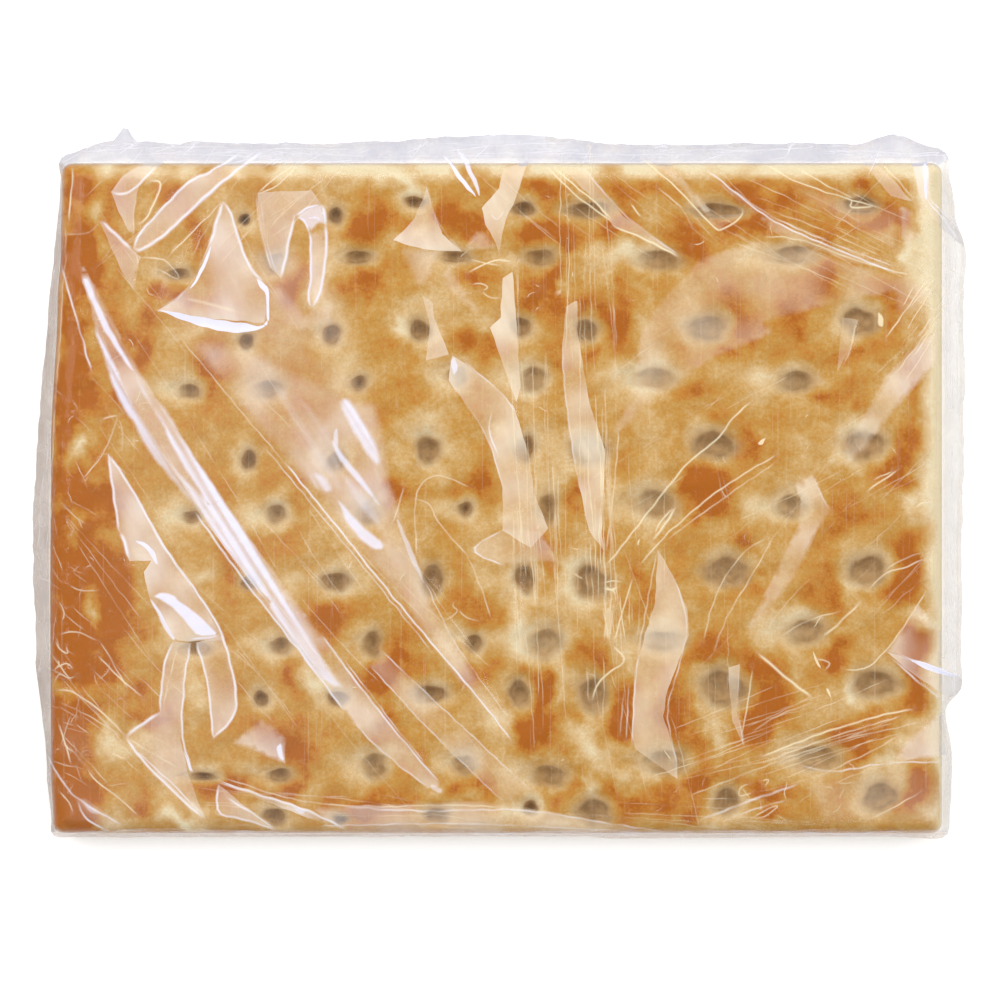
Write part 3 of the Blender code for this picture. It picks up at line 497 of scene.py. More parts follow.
# Reflections of the lamps in it: strength, how soft the edge is, and outline
SHINES = {
    "v band thick": (0.3, 1, ((-134.5, 131), (-130.5, 137), (-121, 144), (-123, 140.5), (-131, 132))),
    "sail side": (0.97, 0.3, (
        (-127, 116), (-128.5, 108), (-131, 102), (-135, 95.5), (-138.5, 92.5), (-135, 98), (-133, 102.5),
        (-130, 108.5),
    )),
    "sail foot": (0.98, 0.3, (
        (-152, 85), (-142, 83), (-133, 81.5), (-120.5, 79.5), (-112.5, 78.5), (-105, 77), (-102.5, 80),
        (-102.5, 77.5), (-105, 76), (-110.5, 74.5), (-116.5, 74), (-123, 74.5), (-133, 77), (-145.5, 81.5),
    )),
    "sail corner": (0.95, 0.3, (
        (-108, 99.5), (-104.5, 97), (-102, 94.5), (-101.5, 89), (-101.5, 79), (-103, 79), (-103, 87),
        (-103.5, 91.5), (-106, 94.5),
    )),
    "hook rim": (0.62, 1.4, (
        (-90, 126.5), (-85.5, 130), (-79, 133), (-77, 128.5), (-76, 122), (-79.5, 123), (-82.5, 119.5),
        (-85.5, 121.5),
    )),
    "stripe tip": (0.84, 1.1, (
        (-186, 99), (-182.5, 99), (-180.5, 93.5), (-177.5, 86.5), (-174, 78.5), (-168.5, 68.5), (-164, 61),
        (-161, 55), (-165, 58), (-171, 66.5), (-177, 76.5), (-181, 85.5), (-184.5, 93),
    )),
    "stripe left": (0.8, 1.7, (
        (-182.5, 87), (-178.5, 79), (-174, 68), (-170, 59.5), (-166.5, 50), (-163, 43), (-158.5, 36),
        (-153.5, 28), (-147.5, 18.5), (-138.5, 8), (-129, -1), (-122, -10.5), (-115.5, -20), (-109, -28.5),
        (-103, -38), (-97, -47.5), (-92, -55.5), (-100.5, -48.5), (-109.5, -39), (-116.5, -29),
        (-124.5, -19), (-132.5, -8.5), (-139.5, 0), (-146, 7.5), (-153, 16.5), (-158.5, 24), (-163, 33),
        (-169, 42), (-173, 51), (-176.5, 63), (-180.5, 73.5),
    )),
    "stripe faint": (0.5, 2, (
        (-163.5, 58.5), (-155.5, 49), (-145.5, 38), (-140, 27), (-146.5, 27), (-154.5, 39.5), (-160.5, 48.5),
    )),
    "stripe right": (0.84, 1.6, (
        (-154.5, 44), (-146.5, 35), (-140, 27), (-134, 17.5), (-127, 7.5), (-121, -2), (-114.5, -11),
        (-108, -20.5), (-103.5, -28.5), (-97.5, -37.5), (-91, -46), (-86.5, -54.5), (-81.5, -63.5),
        (-76, -72.5), (-70.5, -81.5), (-67.5, -86), (-72.5, -85), (-78.5, -82), (-86, -73.5), (-92, -64.5),
        (-98.5, -55.5), (-103, -48), (-100.5, -45), (-106, -37.5), (-112, -28.5), (-118.5, -20.5),
        (-125, -11.5), (-130, -2.5), (-135.5, 6), (-141.5, 15.5), (-147.5, 26),
    )),
    "left foot": (0.8, 0.7, (
        (-156, -44), (-153, -46.5), (-150, -52), (-146.5, -58), (-143, -64), (-146, -64), (-151, -55),
        (-154, -49),
    )),
    "left blob": (0.88, 1, (
        (-154.5, -44), (-151, -42), (-147.5, -42), (-144, -43.5), (-142, -46), (-136, -50), (-129.5, -55.5),
        (-123.5, -62), (-134, -62.5), (-139, -56.5), (-143.5, -51), (-149.5, -46.5),
    )),
    "left drop": (0.9, 0.5, (
        (-162, -18.5), (-156.5, -20), (-153, -24), (-151, -30), (-152.5, -30), (-155, -26), (-157, -23),
        (-161.5, -20),
    )),
    "fold foot": (0.8, 0.5, (
        (-141, -111), (-137, -119.5), (-135.5, -123), (-137.5, -123), (-139.5, -117.5),
    )),
    "kite spot": (0.85, 0.6, ((-99, -112), (-96.5, -109), (-94.5, -119), (-97.5, -116.5))),
    "second drop": (0.78, 2.2, (
        (-71.5, 43), (-68, 46), (-64.5, 44), (-60, 37), (-55.5, 29.5), (-52, 21.5), (-51, 15.5), (-54, 13.5),
        (-59.5, 20.5), (-65.5, 30.5),
    )),
    "second streak": (0.78, 1.3, (
        (-75, 27), (-72, 25.5), (-68.5, 20.5), (-64.5, 15.5), (-59.5, 9), (-50.5, -4), (-53, -4), (-60, 4.5),
        (-66.5, 11.5), (-72.5, 19),
    )),
    "second smudge": (0.6, 0.8, ((-73, 31.5), (-70.5, 31.5), (-70.5, 21.5), (-73.5, 22.5))),
    "second lump": (0.6, 2.2, (
        (-84.5, 11), (-81, 12), (-76.5, 11), (-72, 7), (-72.5, 2.5), (-77, 1.5), (-82.5, 4.5),
    )),
    "second bright": (0.3, 3, (
        (-71, 12.5), (-64.5, 10), (-58.5, 2.5), (-50.5, -10), (-53, -14.5), (-61, -6.5), (-69, 2.5),
    )),
    "second haze": (0.16, 2.5, ((-102.5, 53), (-86, 46), (-70, 26), (-68, -1), (-80, 10.5), (-92.5, 33))),
    "second moon": (0.8, 1.5, (
        (-72.5, 0.5), (-69.5, -1), (-66, -5), (-62, -9.5), (-57.5, -14), (-49.5, -20), (-50.5, -24),
        (-55, -23.5), (-61, -19.5), (-67.5, -11.5),
    )),
    "second side": (0.5, 0.7, ((-46.5, -6), (-43.5, -10), (-37.5, -22), (-30, -42.5), (-39.5, -26.5))),
    "far streak left": (0.92, 0.4, ((-26, 157), (-20.5, 152), (-6.5, 132.5), (-14.5, 139.5))),
    "far streak right": (0.8, 0.5, (
        (-18.5, 158.5), (-13.5, 154), (-7.5, 140.5), (-6.5, 132.5), (-14.5, 149.5),
    )),
    "ribbon top": (0.7, 0.7, ((-21, 61.5), (-18.5, 64), (-16.5, 58), (-19, 54))),
    "right ear shine": (0.92, 0.5, ((191.5, 150.5), (194, 151), (194, 134.5), (192, 132.5))),
    "right tongue shine": (0.95, 0.3, ((183.5, -71.5), (197, -75), (211, -81.5), (195, -78.5))),
    "near left shine": (0.4, 1, ((-187.5, -135.5), (-180, -138.5), (-177.5, -142.5), (-182.5, -141.5))),
    "wave shine": (0.6, 0.6, ((-93.5, -137.5), (-84, -140), (-87, -142.5))),
    "band end": (0.5, 0.8, ((-29, -127.5), (-23.5, -131), (-25, -133.5), (-29.5, -130.5))),
}

# Small cream glints: the same
GLINTS = {
    "lean drop": (0.9, 0.3, ((65, -16.5), (64, -22), (63, -20.5))),
    "drop": (0.85, 0.5, ((171.5, 84), (174, 81.5), (174, 76.5), (171, 77.5))),
    "ladder": (0.55, 0.8, ((48, -49.5), (52.5, -49), (52, -60), (49, -64))),
    "right peak": (0.9, 0.3, ((117, 24), (119, 26.5), (121.5, 27.5), (119.5, 23.5))),
    "right dot": (0.8, 0.3, ((138, 35), (139, 37.5), (140.5, 37.5))),
    "low leaf": (0.85, 0.3, ((141, -66), (147, -78), (143.5, -74.5))),
    "low dart": (0.9, 0.3, ((147.5, -85), (150, -86), (151, -91.5))),
}

# Creases, each painted with a highlight of its kind, by kind, half width and lift: the strength and the line
# of each
CREASES = (
    (WHITE_GLINT, 0.57, 0.15, (
        (0.35, ((-31, 139.5), (-27, 124), (-15.5, 110.5))), (0.45, ((-2.5, 128), (0.5, 124), (4, 129.5))),
        (0.55, ((57.5, -86), (55.5, -106.5))), (0.55, ((59.5, -83.5), (58.5, -108.5))),
    )),
    (WHITE_GLINT, 0.57, 0.2, (
        (0.35, ((-105.5, 134.5), (-103.5, 116), (-98.5, 101.5))),
        (0.55, ((-130.5, -10), (-112.5, -33.5), (-80, -76.5))),
        (0.55, ((-68, -72.5), (-45.5, -102.5), (-32, -118.5))),
        (0.5, ((-103.5, 22.5), (-70, -18), (-29.5, -68))), (0.5, ((-32.5, -36), (-20, -64), (7, -100.5))),
        (0.45, ((109.5, -74.5), (108, -95), (111.5, -111.5))), (0.65, ((-15, 61.5), (2, 48), (10, 37.5))),
        (0.55, ((-11.5, 39.5), (-2.5, 25), (3, 4.5))), (0.45, ((29.5, 66.5), (32, 35), (37.5, 3.5))),
        (0.6, ((80.5, -37), (86.5, -55.5), (83.5, -71.5), (75.5, -96), (81.5, -120))),
        (0.55, ((65, -62), (62, -86), (61, -111))),
    )),
    (WHITE_GLINT, 0.57, 0.25, (
        (0.55, ((-79, -147.5), (-20.5, -145.5), (55.5, -149.5))),
        (0.6, ((-52, -68), (-25, -93.5), (15.5, -131))), (0.6, ((-56.5, -75), (-29.5, -105), (4, -137))),
        (0.55, ((99.5, 143), (125.5, 124), (179, 103.5))),
    )),
    (WHITE_GLINT, 0.63, 0.2, ((0.75, ((-2, 39.5), (-3.5, 30.5), (1, 19))),)),
    (WHITE_GLINT, 0.69, 0.2, (
        (0.5, ((-107.5, 136), (-106.5, 122.5), (-104, 112), (-101, 103.5))),
        (0.6, ((-67.5, -96), (-54.5, -111.5), (-30.5, -130))),
        (0.7, ((-163, -112), (-148.5, -125), (-130, -143.5))),
        (0.6, ((40, 148), (56.5, 127), (82.5, 108.5))), (0.45, ((142, 11), (145.5, 1.5), (150.5, -6.5))),
    )),
    (WHITE_GLINT, 0.69, 0.25, (
        (0.6, ((-68, -138.5), (-34, -141), (11, -139), (46.5, -145.5), (76, -150))),
        (0.5, ((100.5, -146), (114, -140), (130, -135.5))),
        (0.65, ((136.5, -120), (152, -123.5), (174.5, -118.5), (201.5, -118.5))),
        (0.75, ((2.5, -14.5), (-13.5, -23.5), (4, -30.5))),
    )),
    (WHITE_GLINT, 0.69, 0.3, (
        (0.85, ((94, 148), (118.5, 127.5), (136.5, 118), (179, 101))),
        (0.7, ((195, 134), (204, 126), (212, 119.5))),
    )),
    (WHITE_GLINT, 0.75, 0.3, ((0.9, ((-94.5, 15.5), (-78, -4.5), (-43, -48.5), (-7, -90.5), (7, -109))),)),
    (WHITE_GLINT, 0.8, 0.2, ((0.4, ((-139, 94), (-144, 88.5), (-152, 84.5))),)),
    (WHITE_GLINT, 0.8, 0.25, (
        (0.85, ((-124.5, -128), (-126, -142), (-112.5, -144), (-98.5, -149.5))),
        (0.8, ((-121, -134.5), (-110.5, -140.5), (-99.5, -148.5))),
        (0.8, ((-188, -135.5), (-185, -143.5), (-173.5, -150.5))),
        (0.7, ((-202.5, -115.5), (-196, -125.5), (-187, -136.5), (-168, -146.5))),
    )),
    (WHITE_GLINT, 0.8, 0.3, (
        (0.9, ((-135, -6.5), (-115, -34.5), (-92.5, -63), (-67.5, -96))),
        (0.85, ((-78, -61.5), (-61, -85), (-37.5, -114), (-25, -128))),
        (0.9, ((-144.5, -64), (-149, -73.5), (-151, -96.5))),
        (0.9, ((-137, -65), (-140, -81.5), (-141.5, -106.5), (-136.5, -123))),
        (0.95, ((-134.5, -65), (-129, -82.5), (-127, -108))), (0.8, ((193, 134), (201.5, 125), (209, 116))),
        (0.7, ((175, -68.5), (183.5, -71.5), (197, -76), (211, -81.5))),
        (0.6, ((176, -70.5), (190.5, -83.5), (201.5, -91.5))),
        (0.7, ((-196, 106), (-192, 93.5), (-188.5, 81), (-181.5, 56.5))),
    )),
    (WHITE_GLINT, 0.92, 0.3, (
        (0.85, ((-173, 137.5), (-169, 136), (-164.5, 137), (-157.5, 143.5), (-153, 149))),
        (0.65, ((91.5, -144.5), (109.5, -137.5), (136.5, -128))),
    )),
    (WHITE_GLINT, 0.92, 0.4, (
        (0.95, ((-174, 19.5), (-171.5, 1.5), (-169, -15.5))),
        (0.95, (
            (-173.5, 19.5), (-160, -1), (-151, -19.5), (-136.5, -39), (-124.5, -56.5), (-120, -70.5),
            (-116, -88.5), (-117.5, -99), (-127, -108),
        )),
        (0.85, ((-124.5, -127.5), (-105, -133.5), (-84.5, -140), (-68, -148.5))),
    )),
    (WHITE_GLINT, 1.03, 0.4, (
        (0.97, ((-90, 126), (-92, 120.5), (-93.5, 111.5), (-96.5, 98.5))),
        (0.95, ((-166, -107), (-163.5, -112), (-148.5, -128.5), (-131, -144))),
    )),
    (WHITE_GLINT, 1.03, 0.5, (
        (0.95, ((-163, 111.5), (-161, 118), (-151, 128.5), (-137.5, 142.5), (-127.5, 146.5), (-115, 155.5))),
        (0.97, ((-122, 133.5), (-119, 127.5), (-115, 114.5), (-111, 104), (-104, 96.5))),
    )),
    (WHITE_GLINT, 1.15, 0.4, ((0.97, ((-151, -96.5), (-157.5, -100.5), (-166, -107))),)),
    (WHITE_GLINT, 1.15, 0.5, ((0.97, ((-122, 133.5), (-127, 119), (-129, 113.5))),)),
    (WHITE_GLINT, 1.26, 0.4, ((0.97, ((-169, -15.5), (-166.5, -20), (-164.5, -27.5))),)),
    (WHITE_GLINT, 1.26, 0.6, (
        (0.97, ((-178, 124), (-176, 123.5), (-170.5, 117.5), (-163, 111))),
        (0.97, ((-163, 111), (-159.5, 111), (-150, 116.5), (-133, 132.5), (-121.5, 143), (-105, 156.5))),
    )),
    (CREAM_GLINT, 0.57, 0.15, (
        (0.8, ((52, -43), (51, -51), (51.5, -61))),
        (0.8, ((-198, -64), (-196, -68), (-191.5, -70.5), (-193, -66))),
        (0.75, ((-197.5, -76.5), (-193, -73.5), (-189.5, -76.5))),
        (0.8, ((-196.5, -46), (-193, -51), (-195, -55.5))),
        (0.7, ((-196, -61), (-187.5, -59.5), (-178.5, -64))),
        (0.7, ((-191.5, -39), (-185, -42), (-178, -41.5))),
        (0.6, ((-178, -64), (-172.5, -72.5), (-165, -86))), (0.85, ((169, 7.5), (172.5, 10), (178, 12))),
        (0.8, ((-12, 107), (-5.5, 105.5), (2, 104))), (0.9, ((48, -49.5), (49.5, -57), (50.5, -64))),
        (0.85, ((52.5, -49), (52, -55.5), (50.5, -64))), (0.9, ((61.5, -36), (57.5, -48), (53, -64.5))),
        (0.8, ((119, -127), (123, -126), (120.5, -129.5))),
        (0.7, ((-198.5, -71.5), (-195, -76.5), (-190.5, -82.5))),
        (0.7, ((-198.5, -83.5), (-196, -78), (-192, -81.5), (-188.5, -80))),
        (0.6, ((-198.5, -78), (-196, -74.5), (-197, -72))),
        (0.8, ((114, -128), (109.5, -129.5), (108.5, -134.5), (115, -132))),
        (0.75, ((115, -143.5), (121, -139.5), (128, -137.5), (121, -143), (116, -143.5))),
        (0.6, ((40.5, -74.5), (41.5, -90.5))), (0.7, ((48, -38), (52, -37), (57, -37.5))),
        (0.65, ((49, -39.5), (54, -43))), (0.7, ((34.5, -33.5), (39.5, -36.5))),
        (0.65, ((-18.5, -46), (-20, -48.5), (-16.5, -50.5), (-20.5, -54), (-23.5, -55))),
        (0.6, ((-17, -50), (-14, -53.5), (-6.5, -55.5))),
        (0.7, ((-11, 95.5), (-6.5, 96.5), (-3, 94.5), (-6.5, 93))),
        (0.7, ((-6.5, 92.5), (-2, 89.5), (2, 90))),
    )),
    (CREAM_GLINT, 0.57, 0.2, (
        (0.8, ((-107, 136.5), (-100.5, 142.5), (-95.5, 146.5), (-88, 151.5))),
        (0.85, ((-107, 136.5), (-100.5, 138.5), (-95, 142.5), (-89, 150))),
        (0.5, ((-161, 135), (-163, 128.5), (-162.5, 118.5))),
        (0.55, ((-162.5, 110.5), (-160.5, 106), (-162.5, 94.5))),
        (0.8, ((-147.5, 108), (-137.5, 118), (-123, 132.5))),
        (0.7, ((-160.5, 108), (-147.5, 107.5), (-140, 96.5), (-152, 102.5))),
        (0.4, ((-136.5, 108), (-131.5, 118), (-123, 131.5))),
        (0.5, ((-142.5, -66), (-146, -78), (-149.5, -96))),
        (0.5, ((-196, -91.5), (-182.5, -97.5), (-168, -107))),
        (0.5, ((-142, 72.5), (-112.5, 36.5), (-94.5, 15.5))),
        (0.65, ((-47, -12.5), (-44, -4.5), (-41, 5.5))), (0.6, ((71.5, 140), (82.5, 131.5), (88.5, 121))),
        (0.85, ((120.5, 151), (130, 143.5), (150, 136.5), (172.5, 130))),
        (0.75, ((134.5, 149), (150, 139), (160.5, 134.5))),
        (0.55, ((123, 129), (145.5, 121), (172.5, 108.5))),
        (0.75, ((172.5, 151), (181.5, 141), (187.5, 134.5))), (0.6, ((125.5, 16), (100.5, -1), (77, -18.5))),
        (0.6, ((127.5, -62.5), (138.5, -55), (156, -50.5))),
        (0.8, ((192.5, -27), (183.5, -31.5), (174, -33.5), (167, -41.5))),
        (0.55, ((174, -33.5), (180.5, -28), (191.5, -24.5))), (0.75, ((182.5, 1), (187.5, -2))),
        (0.75, ((188.5, -5), (190, -2), (194, -2))), (0.6, ((115, -105), (125.5, -97.5), (142, -92))),
        (0.7, ((115, -76.5), (113, -93), (110, -106.5))),
        (0.6, ((167, -144.5), (181.5, -137.5), (191.5, -131))), (0.6, ((-13, -26), (-7, -39), (-2, -54.5))),
        (0.6, ((-35.5, -25.5), (-37, -1), (-33, 8), (-25, 11), (-11.5, 4.5))),
        (0.55, ((-37, -0.5), (-29.5, -2), (-26.5, -11), (-12.5, -26))),
        (0.65, ((55, 30.5), (53.5, 8), (49.5, -24))), (0.5, ((72, -24), (69, -41.5), (63, -72.5))),
        (0.5, ((-193, 122.5), (-195, 89), (-198.5, 35), (-200.5, -10))),
        (0.55, ((-195, 118), (-182.5, 118.5), (-178, 124))),
        (0.6, ((-169.5, 37), (-174.5, 21.5), (-186, 8))), (0.55, ((-169.5, 36), (-167, 29.5), (-168, 21.5))),
    )),
    (CREAM_GLINT, 0.57, 0.25, (
        (0.6, ((-121.5, -125.5), (-90, -136.5), (-52, -139), (-25, -137.5), (2, -138.5))),
        (0.7, ((119.5, 117.5), (136.5, 116.5), (159, 107), (186, 100))),
        (0.6, ((121, -18), (110.5, -24), (98.5, -42), (93, -64))),
        (0.6, ((124, -18.5), (118.5, -28.5), (102.5, -55), (97.5, -69.5))),
        (0.85, ((193, -42), (183.5, -57), (175, -68.5), (166.5, -77), (156, -77))),
        (0.55, ((161.5, 79), (160, 68.5), (156, 59.5))), (0.6, ((119.5, -119), (150, -107), (181.5, -98))),
        (0.55, ((87, -133.5), (118.5, -121), (150, -109.5), (190.5, -100.5))),
        (0.6, ((143, -125.5), (168, -114), (181.5, -106.5))),
    )),
    (CREAM_GLINT, 0.63, 0.15, (
        (0.95, ((-13, 101), (-7, 104), (0, 107), (8, 106))), (0.9, ((60, 132), (62, 129.5), (65.5, 126))),
        (0.9, ((157, 135), (160, 133.5), (158.5, 130), (170, 130.5), (167, 132.5))),
        (0.85, ((143.5, -72.5), (150.5, -73.5), (147.5, -77.5))),
    )),
    (CREAM_GLINT, 0.63, 0.2, (
        (0.8, ((-178.5, -70.5), (-169, -81), (-158, -89.5))),
        (0.8, ((-196.5, -100.5), (-193, -111), (-190.5, -119.5))),
        (0.8, ((-183.5, -121), (-180.5, -126), (-169.5, -134.5), (-160.5, -142.5))),
        (0.8, ((-196, -132), (-192, -135.5), (-189.5, -141.5))),
        (0.9, ((22, 149.5), (35.5, 135.5), (52, 124))),
        (0.85, ((-190.5, 149), (-190, 144), (-191, 135), (-192, 124))),
    )),
    (CREAM_GLINT, 0.63, 0.25, ((0.85, ((126, 19.5), (100.5, 4.5), (77, -15.5), (64.5, -30))),)),
    (CREAM_GLINT, 0.69, 0.15, (
        (0.85, ((48, -40.5), (51.5, -41.5), (55.5, -40))), (0.85, ((48.5, -43), (49.5, -54), (48.5, -64))),
        (0.95, ((166, 2.5), (172.5, 7.5), (180.5, 12.5))), (0.8, ((-177, 35), (-173.5, 36.5), (-169.5, 37))),
    )),
    (CREAM_GLINT, 0.69, 0.2, (
        (0.9, ((79.5, -4.5), (72.5, -11.5), (71, -17))),
        (0.5, ((-165.5, -107.5), (-155.5, -114), (-143, -121))),
    )),
    (CREAM_GLINT, 0.69, 0.25, (
        (0.8, ((-197, -86), (-190.5, -86), (-176.5, -96), (-166.5, -106.5))),
        (0.95, ((25, 149.5), (35.5, 140), (46.5, 131), (52, 125))),
        (0.95, ((52, 122), (69, 115.5), (82, 108))),
        (0.9, ((43, -91), (44.5, -85.5), (49.5, -78.5), (59.5, -73), (52, -66))),
    )),
    (CREAM_GLINT, 0.69, 0.3, (
        (0.95, ((66, 152.5), (85, 135.5), (98, 120.5), (101.5, 120), (111.5, 127), (110, 130))),
        (0.9, ((115, 43), (108, 38.5), (99.5, 26), (87, 17.5), (69, -5.5), (49.5, -30.5))),
        (0.9, ((118.5, -116.5), (145.5, -105.5), (172.5, -97.5), (187.5, -94.5))),
    )),
    (CREAM_GLINT, 0.8, 0.2, ((0.85, ((164, -46), (159, -51.5), (146.5, -62.5))),)),
    (CREAM_GLINT, 0.86, 0.25, (
        (0.97, (
            (-156, 142), (-151, 142.5), (-150.5, 139), (-153.5, 132.5), (-156.5, 125.5), (-160.5, 122.5),
        )),
    )),
    (CREAM_GLINT, 0.92, 0.2, ((0.97, ((81, -3.5), (76.5, -11), (70, -19.5))),)),
    (CREAM_GLINT, 1.03, 0.2, ((0.97, ((117, -69.5), (125.5, -76.5), (142, -90))),)),
    (CREAM_GLINT, 1.15, 0.2, ((0.55, ((-139.5, 89.5), (-128.5, 87), (-116, 83.5))),)),
    (SHINE, 0.8, 0.2, ((0.85, ((-123.5, -62), (-130.5, -63), (-137.5, -63))),)),
    (SHINE, 0.92, 0.25, (
        (0.97, ((-90, 126), (-85.5, 130), (-78.5, 132))),
        (0.95, ((-89.5, 126), (-86.5, 125), (-83.5, 119.5))),
    )),
    (SHINE, 0.92, 0.3, ((0.95, ((-83.5, 120.5), (-83, 111.5), (-83, 98), (-84.5, 89), (-82.5, 85))),)),
    (SHINE, 1.09, 0.3, ((0.97, ((-76.5, 123), (-76, 111.5), (-78, 95), (-80, 90), (-82.5, 85))),)),
    (SHINE, 1.26, 0.25, ((0.97, ((-78.5, 132), (-77, 128), (-76.5, 122))),)),
    (SHINE, 1.38, 0.2, ((0.9, ((-85.5, 125.5), (-81.5, 126), (-77.5, 124.5))),)),
)


def smooth(t):
    """0 below 0, 1 above 1, and an S-curve between."""
    t = np.clip(t, 0.0, 1.0)
    return t * t * (3 - 2 * t)


def past(place, start, span):
    """0 before the start, and 1 a span beyond it."""
    return smooth((place - start) / span)


def between(stations, place):
    """The value at each place, on an S-curve from one station to the next."""
    places, values = np.array(stations, float).T
    k = np.clip(np.searchsorted(places, place) - 1, 0, len(places) - 2)
    return values[k] + (values[k + 1] - values[k]) * past(place, places[k], places[k + 1] - places[k])


def waves(points, length, seed, count=16):
    """Smooth noise of about unit size: waves in random directions, 0.7 to 1.6 times this long."""
    rng = np.random.default_rng(seed)
    angles = rng.uniform(0, 2 * math.pi, count)
    numbers = 2 * math.pi / (length * rng.uniform(0.7, 1.6, count))
    phases = rng.uniform(0, 2 * math.pi, count)
    across = np.stack((np.cos(angles), np.sin(angles))) * numbers
    return np.sin(points @ across + phases).sum(1) * math.sqrt(2 / count)


def ripples(points, layers):
    """A sum of waves, each with its height, wavelength and seed."""
    return sum(height * waves(points, length, seed) for height, length, seed in layers)


def drift(points, length, seed):
    """Smooth noise of about unit size in both directions."""
    return np.stack((waves(points, length, seed), waves(points, length, seed + 1)), 1)


def direction(angles):
    """Unit vectors at these angles."""
    return np.stack((np.cos(angles), np.sin(angles)), -1)


def sideways(along):
    """Unit vectors a quarter turn to the left of these."""
    return np.stack((-along[:, 1], along[:, 0]), 1) / np.maximum(np.hypot(*along.T), TINY)[:, None]


def off_side(points):
    """Distance outwards from the bread's side, negative on the bread."""
    q = np.abs(points) - (BREAD_SIZE / 2 - BREAD_CORNER)
    return np.hypot(*np.maximum(q, 0).T) + np.minimum(q.max(1), 0) - BREAD_CORNER


def outward(points):
    """The side's outward direction at each point near or off the bread's side."""
    q = np.maximum(np.abs(points) - (BREAD_SIZE / 2 - BREAD_CORNER), 0) * np.sign(points)
    return q / np.maximum(np.hypot(*q.T), 1e-9)[:, None]


def lean(points):
    """How far the left side's lean moves each point to the right."""
    x, y = points.T
    return between(LEFT_LEAN, y) * past(-x, LEAN_START, LEAN_FULL - LEAN_START)


def straightened(points):
    """Takes the left side's lean out of points that were measured with it."""
    points = np.array(points, float)
    points[:, 0] -= lean(points)
    return points


def bread_outline(step):
    """Points round the bread, anticlockwise from its near right corner, and their outward directions."""
    half_x, half_y = BREAD_SIZE / 2 - BREAD_CORNER
    corners = np.array(((half_x, -half_y), (half_x, half_y), (-half_x, half_y), (-half_x, -half_y)))
    arc = np.radians(np.linspace(-90, 0, CORNER_POINTS))
    points, normals = [], []
    for k, middle in enumerate(corners):
        turn = direction(arc + k * math.pi / 2)
        start = middle + BREAD_CORNER * turn[-1]
        end = corners[(k + 1) % 4] + BREAD_CORNER * turn[-1]
        steps = round(np.hypot(*(end - start)) / step)
        shares = (np.arange(1, steps) / steps)[:, None]
        points += [middle + BREAD_CORNER * turn, start + (end - start) * shares]
        normals += [turn, np.repeat(turn[-1:], steps - 1, 0)]
    return np.concatenate(points), np.concatenate(normals)


def margin(points, normals):
    """How far the bag reaches beyond the bread here."""
    x, y = points.T
    right, far = normals.T
    across = np.where(right > 0, between(RIGHT_MARGINS, y), between(LEFT_MARGINS, y))
    along = np.where(far > 0, between(FAR_MARGINS, x), between(NEAR_MARGINS, x))
    ragged = 1 + ripples(points, MARGIN_RIPPLES)
    return (right**2 * across + far**2 * along) * ragged + CORNER_FLARE * (2 * right * far) ** 2


def past_side(points):
    """How far each point is past the bread's side, and how far the bag reaches there."""
    off = off_side(points)
    normals = outward(points)
    return off, margin(points - normals * off[:, None], normals)


class Dimples:
    """All the pressed holes, with rims that wobble a little."""

    def __init__(self):
        rows = np.array([(*dimple, oval) for oval, row in DIMPLE_ROWS for dimple in row])
        self.middles, self.halves, self.ovals = straightened(rows[:, :2]), rows[:, 2:4], rows[:, 4]
        rng = np.random.default_rng(WOBBLE_SEED)
        self.phases = rng.uniform(0, 2 * math.pi, (len(DIMPLE_WOBBLE), len(rows)))

    def wobble(self, k, angles):
        """How far out the rim is at these angles, with 1 on a plain oval."""
        out = 1 + TEARDROP * self.ovals[k] * np.sin(angles) ** 2 * np.cos(angles)
        for (lobes, swing), phase in zip(DIMPLE_WOBBLE, self.phases[:, k]):
            out += swing * np.sin(lobes * angles + phase)
        return out

    def ring(self, k, share):
        """Points round a dimple, at this share of the way from its middle to its rim."""
        angles = 2 * math.pi * (np.arange(DIMPLE_SIDES) + share * RING_TWIST) / DIMPLE_SIDES
        return self.middles[k] + self.halves[k] * direction(angles) * self.wobble(k, angles)[:, None] * share

    def measure(self, points):
        """For each point, by the nearest dimple: how far from its middle, with 1 at the rim, the millimetres
        past the rim and from the middle, the dimple's number, and how far left in it the point is."""
        best, beyond, gap = np.full((3, len(points)), np.inf)
        which = np.zeros(len(points), int)
        left = np.zeros(len(points))
        for k, (middle, half) in enumerate(zip(self.middles, self.halves)):
            near = np.flatnonzero((np.abs(points - middle) < DIMPLE_BOX).all(1))
            off = points[near] - middle
            scaled = off / half
            reach = np.hypot(*scaled.T) / self.wobble(k, np.arctan2(scaled[:, 1], scaled[:, 0]))
            distance = np.hypot(*off.T)
            gap[near] = np.minimum(gap[near], distance)
            beyond[near] = np.minimum(beyond[near], distance * (1 - 1 / np.maximum(reach, 0.001)))
            closer = reach < best[near]
            chosen = near[closer]
            best[chosen], which[chosen], left[chosen] = reach[closer], k, -scaled[closer, 0]
        return best, beyond, gap, which, left


